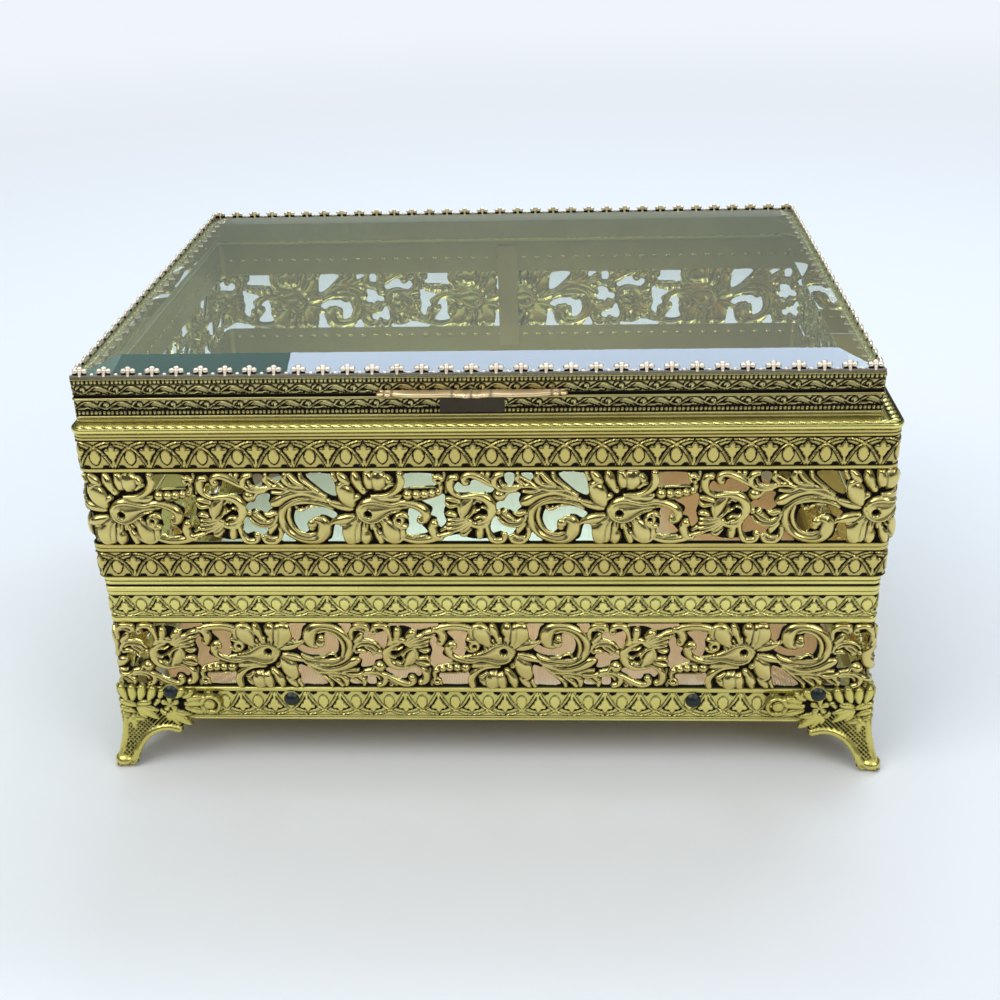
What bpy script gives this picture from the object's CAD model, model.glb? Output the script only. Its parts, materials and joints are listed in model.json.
"""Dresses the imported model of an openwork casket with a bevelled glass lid.

The stamped strips, mouldings, feet and lid are built again as fine surfaces from height fields
that are drawn here stroke by stroke. Drawings are in millimetres; meshes are in metres.
"""

import json
import logging
import math
from collections.abc import Callable
from dataclasses import dataclass, replace
from enum import Enum

import bpy
import numpy as np
from mathutils import Matrix, Vector

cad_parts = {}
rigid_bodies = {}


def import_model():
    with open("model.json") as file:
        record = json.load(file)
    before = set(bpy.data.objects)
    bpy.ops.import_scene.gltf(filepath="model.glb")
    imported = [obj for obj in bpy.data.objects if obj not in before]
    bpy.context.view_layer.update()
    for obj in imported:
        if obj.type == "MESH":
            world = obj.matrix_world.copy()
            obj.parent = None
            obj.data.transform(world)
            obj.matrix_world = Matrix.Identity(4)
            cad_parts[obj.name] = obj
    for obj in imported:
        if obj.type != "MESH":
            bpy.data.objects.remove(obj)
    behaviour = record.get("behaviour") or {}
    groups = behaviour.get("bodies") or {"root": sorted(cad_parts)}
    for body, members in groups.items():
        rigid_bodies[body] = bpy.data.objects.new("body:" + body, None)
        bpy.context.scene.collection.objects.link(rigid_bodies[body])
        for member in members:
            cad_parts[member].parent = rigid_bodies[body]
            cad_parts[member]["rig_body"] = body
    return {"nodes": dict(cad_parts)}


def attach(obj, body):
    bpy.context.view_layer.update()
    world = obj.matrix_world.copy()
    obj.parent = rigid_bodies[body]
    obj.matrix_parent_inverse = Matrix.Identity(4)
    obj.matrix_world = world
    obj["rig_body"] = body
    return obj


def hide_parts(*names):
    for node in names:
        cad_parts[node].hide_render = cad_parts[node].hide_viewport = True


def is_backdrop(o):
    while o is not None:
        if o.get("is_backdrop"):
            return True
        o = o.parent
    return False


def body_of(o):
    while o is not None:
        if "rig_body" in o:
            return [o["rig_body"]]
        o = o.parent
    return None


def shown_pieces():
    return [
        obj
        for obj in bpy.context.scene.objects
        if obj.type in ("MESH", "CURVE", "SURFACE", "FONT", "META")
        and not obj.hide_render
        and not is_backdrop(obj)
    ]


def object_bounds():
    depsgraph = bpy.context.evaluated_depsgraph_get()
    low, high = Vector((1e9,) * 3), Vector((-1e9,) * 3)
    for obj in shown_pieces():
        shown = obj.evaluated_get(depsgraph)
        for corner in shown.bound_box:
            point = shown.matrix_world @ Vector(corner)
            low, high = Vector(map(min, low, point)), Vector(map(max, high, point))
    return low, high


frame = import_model()
log = logging.getLogger("casket")

Pair = tuple[float, float]
Colour = tuple[float, float, float]

MM = 0.001
FAR = 9.0           # stands for a depth or distance that is out of reach
THINNEST = 0.08     # least half width of a stroke
GROOVE = 0.16       # depth of the grooves along a stroke
AT_EDGE = 0.45      # share of a grid's step within which a point belongs to an opening's edge


# ---- drawing in relief ----


def smooth(known: np.ndarray, cuts: int, closed: bool = False) -> np.ndarray:
    """Carries a curve through rows of numbers; each span is a Catmull-Rom cubic of four rows.

    With a, b, c and d the rows before, at the start, at the end and after, a place at share t is
    half of 2b + (c - a)t + (2a - 5b + 4c - d)t^2 + (3b - a - 3c + d)t^3.

    Args:
        known: The rows to pass through.
        cuts: Number of straight pieces in each span.
        closed: Whether the last row joins the first.

    Returns:
        The curve's rows; an open curve ends with the last known row.
    """
    ends = (known[-1:], known[:2]) if closed else (2 * known[:1] - known[1:2], 2 * known[-1:] - known[-2:-1])
    padded = np.vstack([ends[0], known, ends[1]])
    t = np.linspace(0, 1, cuts, endpoint=False)[:, None]
    a, b, c, d = (padded[i:len(padded) - 3 + i, None] for i in range(4))
    curve = 0.5 * (2 * b + (c - a) * t + (2 * a - 5 * b + 4 * c - d) * t**2 + (3 * b - a - 3 * c + d) * t**3)
    return np.vstack([curve.reshape(-1, known.shape[1]), known[:0] if closed else known[-1:]])


def nearest(here: np.ndarray, starts: np.ndarray, along: np.ndarray) -> tuple[np.ndarray, np.ndarray]:
    """Finds the nearest point of each straight piece to each place.

    Args:
        here: Places, with an axis for the pieces before the last one.
        starts: Where the pieces start.
        along: The way from each piece's start to its end.

    Returns:
        The share of the piece at that point, and the way from the point to the place.
    """
    offset = here - starts
    share = np.clip((offset * along).sum(-1) / np.maximum((along**2).sum(-1), 1e-9), 0, 1)
    return share, offset - share[..., None] * along


@dataclass(frozen=True)
class Stroke:
    """A raised ridge that runs through points and swells to a half width at each of them.

    Attributes:
        points: Places along the ridge, in the drawing's own millimetres.
        widths: Half width at each point.
        base: Height of the ridge's edge above the ground.
        crown: How far the ridge's middle stands above its edge where it is widest.
        grooves: Number of fine grooves that run along it.
    """

    points: tuple[Pair, ...]
    widths: tuple[float, ...]
    base: float = 0.5
    crown: float = 0.7
    grooves: int = 0

    def swollen(self, wider: float, taller: float) -> "Stroke":
        """The same stroke, wider and more domed, with its edge a quarter lower."""
        return replace(self, widths=tuple(width * wider for width in self.widths), base=self.base * 0.75,
                       crown=self.crown * taller)

    def spine(self) -> tuple[np.ndarray, np.ndarray]:
        """A smooth curve through the points: its places, and its half widths there.

        Returns:
            The places and the half widths.
        """
        known = np.column_stack([np.array(self.points, float), np.array(self.widths, float)])
        if len(known) > 1:
            known = smooth(known, 5)
        return known[:, :2], np.maximum(known[:, 2], THINNEST)


class Relief:
    """A height field over a rectangle that may repeat along its length."""

    def __init__(self, length: float, low: float, high: float, step: float, repeats: bool = True,
                 first: float = 0.0) -> None:
        """Lays out an empty field.

        Args:
            length: Length of the field.
            low: Lowest place across it.
            high: Highest place across it.
            step: Distance between samples.
            repeats: Whether the end of the field joins its start.
            first: Where the field starts.
        """
        self.length = length
        self.first = first
        self.low = low
        self.repeats = repeats
        self.shifts = (-length, 0.0, length) if repeats else (0.0,)
        self.rows = max(4, round((high - low) / step) + 1)
        self.columns = max(4, round(length / step))
        self.du = length / self.columns
        self.dh = (high - low) / (self.rows - 1)
        if not repeats:
            self.columns += 1
        self.u, self.h = np.meshgrid(first + np.arange(self.columns) * self.du,
                                     low + np.arange(self.rows) * self.dh)
        self.height = np.zeros_like(self.u)
        self.inside = np.full_like(self.u, -FAR)

    def window(self, places: np.ndarray, reach: float) -> tuple[tuple, np.ndarray]:
        """The samples within reach of some places: their rows and columns, and where they lie.

        Args:
            places: The places.
            reach: How far round them to look.

        Returns:
            The slices of rows and columns, and the samples' places.
        """
        west, south = places.min(0) - reach
        east, north = places.max(0) + reach
        first = max(0, math.floor((west - self.first) / self.du))
        last = min(self.columns, math.ceil((east - self.first) / self.du) + 1)
        bottom = max(0, math.floor((south - self.low) / self.dh))
        top = min(self.rows, math.ceil((north - self.low) / self.dh) + 1)
        chosen = np.s_[bottom:max(bottom, top), first:max(first, last)]
        return chosen, np.stack([self.u[chosen], self.h[chosen]], -1)[..., None, :]

    def ridge(self, stroke: Stroke) -> None:
        """Raises a stroke; where it meets what is there, the higher of the two stays.

        The section is a dome: base + crown * (1 - (distance / half width)^2) ^ 0.75.

        Args:
            stroke: The stroke to raise.
        """
        places, widths = stroke.spine()
        along, wider = (np.diff(values, axis=0) if len(places) > 1 else 0 * values
                        for values in (places, widths))
        for shift in self.shifts:
            spine = places + (shift, 0.0)
            chosen, here = self.window(spine, widths.max() + 1.0)
            share, way = nearest(here, spine[:len(along)], along)
            distance = np.sqrt((way**2).sum(-1))
            width = widths[:len(along)] + share * wider
            best = (width - distance).argmax(-1)[..., None]
            distance, width = (np.take_along_axis(values, best, -1)[..., 0] for values in (distance, width))
            slope = np.clip(distance / width, 0, 1)
            raised = stroke.base + stroke.crown * np.sqrt(width / widths.max()) * (1 - slope**2)**0.75
            if stroke.grooves:
                side = np.take_along_axis(along[:, 0] * way[..., 1] - along[:, 1] * way[..., 0], best, -1)
                across = 0.5 + 0.5 * slope * np.sign(side[..., 0])
                wave = 0.5 - 0.5 * np.cos(2 * math.pi * stroke.grooves * across)
                raised -= GROOVE * wave * (1 - slope**4)
            held = self.height[chosen]
            self.height[chosen] = np.where(distance < width, np.maximum(held, raised), held)
            self.inside[chosen] = np.maximum(self.inside[chosen], width - distance)

    def pit(self, u: float, h: float, radius: float) -> None:
        """Sinks a round hollow down to the ground, with sloping sides."""
        away = (self.u - u + self.length / 2) % self.length - self.length / 2
        self.height *= np.clip((np.hypot(away, self.h - h) / radius - 0.75) * 4, 0, 1)

    def depth_in(self, rings: tuple, low: float, high: float) -> np.ndarray:
        """How deep each place lies inside any of some rings: positive inside, negative outside.

        Each ring is rounded by a smooth closed curve and kept between two borders. The distance
        is to the nearest straight piece of the curve; its sign comes from counting the pieces
        that a line to the right crosses.

        Args:
            rings: Rings of points.
            low: The lower border.
            high: The upper border.

        Returns:
            The signed distances, laid out as the field is.
        """
        deepest = np.full_like(self.u, -FAR)
        for ring in rings:
            curve = smooth(np.array(ring, float), 4, closed=True)
            curve[:, 1] = np.clip(curve[:, 1], low, high)
            for shift in self.shifts:
                start = curve + (shift, 0.0)
                along = np.roll(start, -1, 0) - start
                chosen, here = self.window(start, 1.0)
                distance = np.sqrt((nearest(here, start, along)[1]**2).sum(-1)).min(-1)
                straddles = (start[:, 1] > here[..., 1]) != (start[:, 1] + along[:, 1] > here[..., 1])
                rise = np.where(along[:, 1] == 0, 1e-9, along[:, 1])
                crossing = start[:, 0] + (here[..., 1] - start[:, 1]) / rise * along[:, 0]
                odd = (straddles & (here[..., 0] < crossing)).sum(-1) % 2 == 1
                deepest[chosen] = np.maximum(deepest[chosen], np.where(odd, distance, -distance))
        return deepest

    def blurred(self, radius: float) -> np.ndarray:
        """Heights averaged over a square, three times over, which is nearly a bell-shaped blur.

        Args:
            radius: Half the side of the square.

        Returns:
            The averaged heights.
        """
        result = self.height
        for axis, pitch in ((1, self.du), (0, self.dh)):
            half = max(1, round(radius / pitch))
            mode = "wrap" if axis == 1 and self.repeats else "edge"
            for _ in range(3):
                pad = [(0, 0), (0, 0)]
                pad[axis] = (half + 1, half)
                total = np.cumsum(np.pad(result, pad, mode=mode), axis=axis)
                ahead = np.take(total, np.arange(2 * half + 1, total.shape[axis]), axis)
                behind = np.take(total, np.arange(total.shape[axis] - 2 * half - 1), axis)
                result = (ahead - behind) / (2 * half + 1)
        return result

    def recess(self) -> np.ndarray:
        """How far each place lies in a hollow, from 0 on the forms to 1 deep between them.

        It is the most of three: the height blurred a little, less the height; the same with a
        wide blur, but 0.6 at most; and what lies near the ground.

        Returns:
            The recess, laid out as the field is.
        """
        near_radius, near_depth = 0.35, 0.22
        far_radius, far_depth, far_most = 0.9, 0.7, 0.6
        ground_height = 0.52
        narrow = (self.blurred(near_radius) - self.height) / near_depth
        wide = np.clip((self.blurred(far_radius) - self.height) / far_depth, 0, far_most)
        low = 1 - self.height / ground_height
        return np.clip(np.maximum(np.maximum(narrow, wide), low), 0, 1)

    def sample(self, values: np.ndarray, u: np.ndarray, h: np.ndarray) -> np.ndarray:
        """Reads values between the samples, in straight lines both ways.

        Args:
            values: An array laid out as the field is.
            u: Places along the field.
            h: Places across the field.

        Returns:
            The values there.
        """
        column = (u - self.first) / self.du
        if self.repeats:
            column = column % self.columns
            left = np.floor(column).astype(int) % self.columns
            right = (left + 1) % self.columns
        else:
            column = np.clip(column, 0, self.columns - 1.001)
            left = column.astype(int)
            right = left + 1
        row = np.clip((h - self.low) / self.dh, 0, self.rows - 1.001)
        below = row.astype(int)
        fu = column - np.floor(column)
        fh = row - below
        near = values[below, left] * (1 - fu) + values[below, right] * fu
        far = values[below + 1, left] * (1 - fu) + values[below + 1, right] * fu
        return near * (1 - fh) + far * fh


def drawing(strokes: tuple[Stroke, ...], length: float, low: float, high: float, step: float) -> Relief:
    """A repeating field with a set of strokes raised on it.

    Args:
        strokes: The strokes.
        length: Length of one repeat.
        low: Lowest place across the field.
        high: Highest place across it.
        step: Distance between samples.

    Returns:
        The field.
    """
    relief = Relief(length, low, high, step)
    for stroke in strokes:
        relief.ridge(stroke)
    return relief


def arc(u: float, h: float, radius: float, start: float, end: float, points: int = 7) -> tuple[Pair, ...]:
    """Points on part of a circle, between two angles in degrees."""
    turns = np.radians(np.linspace(start, end, points))
    return tuple((u + radius * math.cos(t), h + radius * math.sin(t)) for t in turns)


def knob(u: float, h: float, radius: float, base: float = 0.5, crown: float = 0.7) -> Stroke:
    """A round boss."""
    return Stroke(((u, h),), (radius,), base, crown)


# One repeat of the scrollwork, from the blossom's eye rightwards and up from the lower border
REPEAT = 65.8
SCROLL_H = 21.0

HEAD = (
    Stroke(((0.2, 9.2), (2.8, 9.7), (5.4, 10.3), (8.4, 10.7), (10.8, 10.9)),
           (2.9, 2.0, 1.1, 0.6, 0.4), 0.8, 0.65, 2),
    Stroke(((-2.4, 10.2), (-1.3, 11.8), (1.1, 12.5), (3.6, 12.0), (6.2, 11.5), (9.2, 12.1), (12.0, 11.5),
            (14.3, 10.2), (15.2, 8.3), (14.5, 6.9), (13.5, 6.9), (13.5, 7.7)),
           (0.35, 0.7, 0.9, 0.75, 0.7, 0.8, 0.9, 1.0, 1.0, 0.9, 0.8, 0.6), 0.75, 0.7, 2),
    Stroke(((-2.6, 9.4), (-2.0, 7.7), (0.0, 6.6), (2.2, 6.9), (4.2, 8.2), (6.2, 9.3), (8.3, 9.9)),
           (0.25, 0.4, 0.42, 0.42, 0.4, 0.35, 0.2), 1.05, 0.45),
)

PETALS = (
    Stroke(((1.4, 13.2), (4.5, 13.3), (7.3, 13.4), (8.6, 13.9)), (0.3, 0.55, 0.75, 0.4), 0.6, 0.55, 1),
    Stroke(((8.9, 20.3), (9.3, 18.4), (8.5, 16.5), (6.8, 15.0), (4.6, 14.2), (1.2, 14.0)),
           (0.7, 0.85, 0.8, 0.6, 0.42, 0.3), 0.6, 0.7, 1),
    Stroke(((0.4, 20.3), (0.9, 18.6), (0.9, 17.3)), (0.8, 1.25, 0.95), 0.5, 0.85),
    Stroke(((3.4, 20.4), (3.2, 18.7), (3.0, 17.2)), (1.0, 1.75, 1.2), 0.55, 0.95),
    Stroke(((0.3, 17.2), (0.4, 16.1)), (0.35, 0.3), 0.3, 0.5),
    Stroke(((2.3, 16.9), (2.2, 15.8)), (0.35, 0.3), 0.3, 0.5),
    Stroke(((3.6, 16.9), (3.7, 15.9)), (0.35, 0.3), 0.3, 0.5),
    Stroke(((5.5, 19.5), (5.9, 18.6)), (0.6, 0.8), 0.5, 0.7),
    Stroke(((4.8, 16.2), (5.9, 17.2), (6.8, 17.4)), (0.35, 0.55, 0.4), 0.4, 0.5),
    Stroke(((-3.0, 20.3), (-2.6, 18.7), (-1.9, 17.0), (-1.1, 15.3)), (0.6, 1.0, 0.85, 0.5), 0.5, 0.8, 2),
    Stroke(((-0.9, 16.1), (-0.8, 15.3)), (0.55, 0.6), 0.4, 0.6),
    Stroke(((-7.0, 20.4), (-6.0, 19.1), (-4.8, 17.9)), (0.5, 0.85, 0.5), 0.5, 0.7, 1),
    Stroke(((-8.6, 20.4), (-7.9, 18.8)), (0.45, 0.5), 0.4, 0.6),
    Stroke(((-6.9, 17.0), (-6.0, 15.7), (-5.3, 13.9), (-4.4, 12.2), (-3.9, 11.2)),
           (0.8, 1.5, 1.6, 0.95, 0.4), 0.7, 0.9, 1),
    Stroke(((-7.7, 15.6), (-7.1, 17.4), (-5.2, 18.0)), (0.25, 0.42, 0.35), 0.9, 0.5),
    Stroke(((-3.9, 12.5), (-2.5, 13.8)), (0.4, 0.6), 0.5, 0.6),
    Stroke(((-10.0, 12.2), (-8.0, 11.4), (-6.0, 10.8), (-4.3, 10.2)), (0.35, 0.75, 0.8, 0.4), 0.5, 0.6, 1),
    Stroke(((-9.4, 6.2), (-7.7, 6.9), (-5.7, 7.4), (-4.1, 8.1)), (0.35, 0.9, 1.0, 0.5), 0.5, 0.75, 1),
    Stroke(((-7.4, 5.6), (-6.2, 5.9)), (0.35, 0.5), 0.5, 0.5),
    Stroke(((-3.0, 7.6), (-4.0, 5.9), (-5.0, 3.7), (-5.1, 2.1), (-4.9, 0.9)),
           (0.5, 1.1, 1.75, 1.65, 0.9), 0.55, 0.95, 1),
    Stroke(((-2.5, 6.8), (-3.0, 4.6), (-3.2, 2.4), (-3.4, 1.0)), (0.4, 0.85, 0.95, 0.6), 0.6, 0.8),
    Stroke(((-1.3, 6.2), (-1.4, 3.8), (-1.2, 2.1), (-1.2, 0.9)), (0.4, 0.85, 1.25, 0.8), 0.5, 0.85),
    Stroke(((0.9, 6.0), (1.7, 4.2), (2.5, 2.3), (2.9, 0.8)), (0.4, 0.6, 0.85, 0.65), 0.5, 0.75),
    Stroke(((3.4, 7.3), (4.7, 5.8), (5.8, 3.8), (6.3, 2.3), (6.3, 1.2)),
           (0.4, 1.1, 1.8, 1.7, 0.95), 0.55, 0.95, 1),
    Stroke(((3.1, 3.3), (4.4, 1.4), (6.5, 0.6), (8.2, 1.1), (8.6, 2.9), (8.4, 4.5)),
           (0.25, 0.35, 0.35, 0.35, 0.35, 0.3), 0.8, 0.5),
    Stroke(arc(7.9, 7.1, 1.05, 30, 400, 12), (0.42,) * 12, 0.7, 0.6),
    Stroke(((7.4, 8.6), (9.0, 8.7), (10.3, 7.9)), (0.3, 0.5, 0.4), 0.6, 0.5),
    Stroke(((6.8, 5.9), (8.3, 5.3), (9.7, 5.0)), (0.5, 0.8, 0.5), 0.5, 0.7),
    Stroke(((8.9, 4.7), (9.0, 3.2), (9.3, 1.9)), (0.4, 0.45, 0.5), 0.4, 0.5),
) + tuple(
    Stroke(((4.1 * math.cos(a), 9.6 + 3.4 * math.sin(a)), (5.6 * math.cos(a), 9.6 + 4.9 * math.sin(a))),
           (0.16, 0.3), 0.9, 0.5)
    for a in np.radians(np.linspace(205, 335, 12))
)

SWAN_NECK = (
    Stroke(((8.9, 1.7), (11.5, 1.0), (14.0, 0.9), (16.5, 1.3), (18.6, 1.9)),
           (0.7, 0.85, 0.85, 0.85, 0.8), 0.55, 0.65, 1),
    Stroke(((9.6, 2.7), (12.0, 2.1), (15.0, 2.2)), (0.25, 0.25, 0.25), 0.35, 0.4),
    Stroke(((18.8, 1.7), (17.3, 2.5), (16.6, 4.3), (17.0, 5.6)), (0.75, 0.9, 0.95, 0.9), 0.6, 0.75, 1),
    knob(17.3, 5.9, 1.05, 0.7, 0.75),
    Stroke(((18.9, 2.4), (20.4, 2.7), (22.0, 3.3)), (0.5, 0.6, 0.4), 0.5, 0.55),
    Stroke(((19.0, 3.7), (20.2, 4.5)), (0.4, 0.5), 0.3, 0.4),
    knob(10.7, 14.3, 1.18, 0.45, 0.9),
    knob(12.95, 14.3, 1.05, 0.45, 0.85),
    knob(15.1, 14.4, 1.0, 0.45, 0.8),
    knob(17.05, 14.7, 0.92, 0.45, 0.75),
    knob(18.9, 15.2, 0.85, 0.5, 0.7),
    Stroke(((9.9, 13.1), (12.5, 12.9), (15.5, 13.2), (18.6, 14.1)), (0.3, 0.3, 0.3, 0.3), 0.3, 0.3),
    Stroke(((10.0, 15.8), (12.0, 16.3), (17.8, 16.3)), (0.2, 0.22, 0.22), 0.3, 0.25),
    Stroke(((19.5, 16.2), (19.4, 17.2)), (0.55, 0.5), 0.5, 0.6),
    Stroke(((17.8, 18.9), (18.8, 19.5), (20.0, 18.8)), (0.45, 0.6, 0.45), 0.6, 0.6),
    Stroke(((17.6, 19.9), (17.8, 18.4), (19.2, 17.9), (20.2, 18.9)), (0.3, 0.35, 0.35, 0.3), 0.5, 0.5),
    Stroke(((20.4, 20.4), (20.6, 17.5), (20.7, 14.9)), (0.35, 0.3, 0.3), 0.2, 0.3),
)

ROSETTE = (
    Stroke(((23.4, 19.4), (22.3, 19.1), (21.8, 17.8), (21.9, 16.2), (22.8, 14.8), (24.4, 13.7)),
           (0.55, 0.75, 0.9, 0.85, 0.7, 0.45), 0.55, 0.75, 1),
    knob(23.4, 19.3, 0.75, 0.8, 0.6),
    Stroke(((25.9, 17.9), (25.4, 19.0), (26.2, 19.8), (27.8, 19.9), (29.7, 19.1), (31.6, 17.9),
            (33.2, 16.8)),
           (0.85, 0.7, 0.65, 0.75, 0.8, 0.7, 0.45), 0.55, 0.7, 1),
    knob(31.8, 20.1, 0.6, 0.5, 0.5),
    Stroke(((30.3, 20.3), (31.2, 19.3), (32.8, 18.6)), (0.4, 0.4, 0.35), 0.3, 0.4),
    Stroke(((20.8, 13.3), (22.2, 13.1), (24.0, 12.5)), (0.4, 0.7, 0.6), 0.75, 0.6),
    Stroke(((20.5, 12.2), (21.5, 11.1), (23.6, 11.3)), (0.35, 0.6, 0.5), 0.6, 0.6),
    Stroke(((20.8, 8.7), (21.8, 8.8), (22.9, 8.4)), (0.45, 0.75, 0.6), 0.5, 0.7),
    Stroke(((25.6, 7.3), (23.4, 7.3), (21.0, 7.0)), (0.6, 0.6, 0.35), 0.5, 0.6),
    Stroke(((26.2, 7.0), (23.5, 6.3), (20.8, 5.7)), (0.5, 0.65, 0.4), 0.6, 0.6),
    Stroke(((26.6, 6.8), (23.9, 5.3), (21.0, 4.4)), (0.45, 0.65, 0.45), 0.65, 0.6),
    Stroke(((27.0, 6.6), (24.6, 4.7), (22.2, 3.6)), (0.45, 0.6, 0.4), 0.6, 0.6),
    Stroke(((27.2, 6.1), (25.4, 4.2), (24.0, 3.8)), (0.4, 0.5, 0.35), 0.5, 0.6),
    Stroke(((26.6, 4.2), (25.3, 3.1), (24.7, 2.9)), (0.5, 0.9, 0.8), 0.5, 0.75),
    Stroke(((29.6, 5.0), (29.2, 3.4), (29.1, 2.2)), (0.65, 0.95, 0.85), 0.5, 0.75),
    Stroke(((27.4, 13.2), (25.9, 11.7), (25.1, 10.1), (25.0, 8.5)), (0.8, 1.35, 1.4, 0.9), 0.65, 0.75, 2),
    Stroke(((24.0, 11.0), (24.1, 9.0), (25.1, 7.7), (26.8, 8.5), (27.9, 10.3), (28.1, 12.0), (28.8, 12.9),
            (29.7, 12.3)),
           (0.25, 0.35, 0.4, 0.4, 0.4, 0.35, 0.35, 0.3), 1.0, 0.5),
    Stroke(((24.6, 13.6), (26.8, 14.0), (29.3, 14.0), (31.3, 13.0), (32.4, 11.4), (32.6, 9.6), (32.0, 8.0),
            (30.7, 6.9), (28.8, 6.3)),
           (0.4, 0.65, 0.95, 1.1, 1.1, 1.05, 0.95, 0.8, 0.5), 0.65, 0.85, 1),
    Stroke(((29.0, 10.4), (30.1, 10.9), (31.3, 10.3), (31.6, 8.9), (30.6, 8.0), (29.0, 8.0), (28.0, 7.4)),
           (0.3, 0.35, 0.35, 0.35, 0.4, 0.4, 0.3), 1.0, 0.5),
    Stroke(((28.0, 9.4), (29.0, 10.1), (29.9, 10.9)), (0.35, 0.3, 0.3), 1.0, 0.4),
    Stroke(((26.1, 6.2), (28.3, 5.4), (30.4, 5.5), (31.8, 6.8)), (0.45, 0.85, 0.85, 0.6), 0.6, 0.7, 1),
    Stroke(((31.0, 6.0), (31.2, 4.2), (31.7, 2.6), (32.8, 1.3)), (0.55, 0.55, 0.6, 0.5), 0.5, 0.6),
)

LEAF_CURLS = (
    Stroke(((31.5, 2.5), (32.2, 1.2), (33.7, 0.7), (35.2, 1.0), (36.0, 2.1)),
           (0.5, 0.7, 0.75, 0.7, 0.55), 0.5, 0.7, 1),
    knob(35.7, 2.7, 0.85, 0.6, 0.7),
    Stroke(((37.3, 2.0), (38.0, 0.9), (39.9, 0.6), (41.3, 1.4), (42.1, 3.0), (41.9, 4.8)),
           (0.65, 0.8, 0.8, 0.7, 0.6, 0.45), 0.5, 0.7, 1),
    Stroke(((38.0, 2.6), (39.4, 1.8), (41.0, 1.9)), (0.4, 0.4, 0.3), 0.7, 0.5),
    Stroke(((39.2, 3.3), (39.7, 4.4), (41.0, 5.8)), (0.5, 0.8, 0.55), 0.5, 0.7, 1),
    Stroke(((34.2, 7.8), (35.3, 6.3), (37.4, 5.5), (39.6, 5.7), (41.0, 7.0), (41.6, 8.7)),
           (0.35, 0.5, 0.6, 0.6, 0.5, 0.4), 0.6, 0.65),
    Stroke(((35.2, 8.3), (36.8, 6.9), (39.0, 6.6), (40.4, 7.5)), (0.4, 0.5, 0.5, 0.35), 0.85, 0.5),
    Stroke(((35.6, 9.2), (36.9, 8.2), (38.3, 7.3)), (0.45, 0.5, 0.35), 0.9, 0.5),
    knob(34.3, 9.2, 0.65, 0.5, 0.6),
    knob(36.2, 9.6, 0.55, 0.5, 0.6),
    Stroke(((38.5, 9.0), (39.7, 8.7), (41.0, 9.2)), (0.5, 0.75, 0.5), 0.5, 0.7),
    Stroke(((35.3, 20.2), (33.9, 19.6), (33.3, 18.1), (34.0, 16.7), (35.8, 15.8), (38.0, 15.8),
            (40.4, 16.6)),
           (0.65, 0.7, 0.7, 0.7, 0.65, 0.55, 0.4), 0.5, 0.7, 1),
    Stroke(((34.8, 18.4), (35.6, 17.0), (37.5, 16.6), (40.2, 17.0)), (0.3, 0.4, 0.45, 0.35), 0.75, 0.5),
    knob(34.6, 14.1, 1.35, 0.5, 0.9),
    Stroke(((35.9, 13.6), (36.8, 15.0), (39.0, 15.5)), (0.4, 0.45, 0.4), 0.4, 0.5),
    Stroke(((39.5, 20.3), (39.3, 18.8), (40.9, 17.3)), (0.4, 0.6, 0.5), 0.5, 0.6, 1),
    Stroke(((40.2, 19.5), (42.4, 18.0), (43.8, 17.2)), (0.35, 0.4, 0.35), 0.4, 0.5),
    Stroke(((33.4, 11.6), (33.4, 9.9)), (0.35, 0.35), 0.2, 0.3),
)

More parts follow.
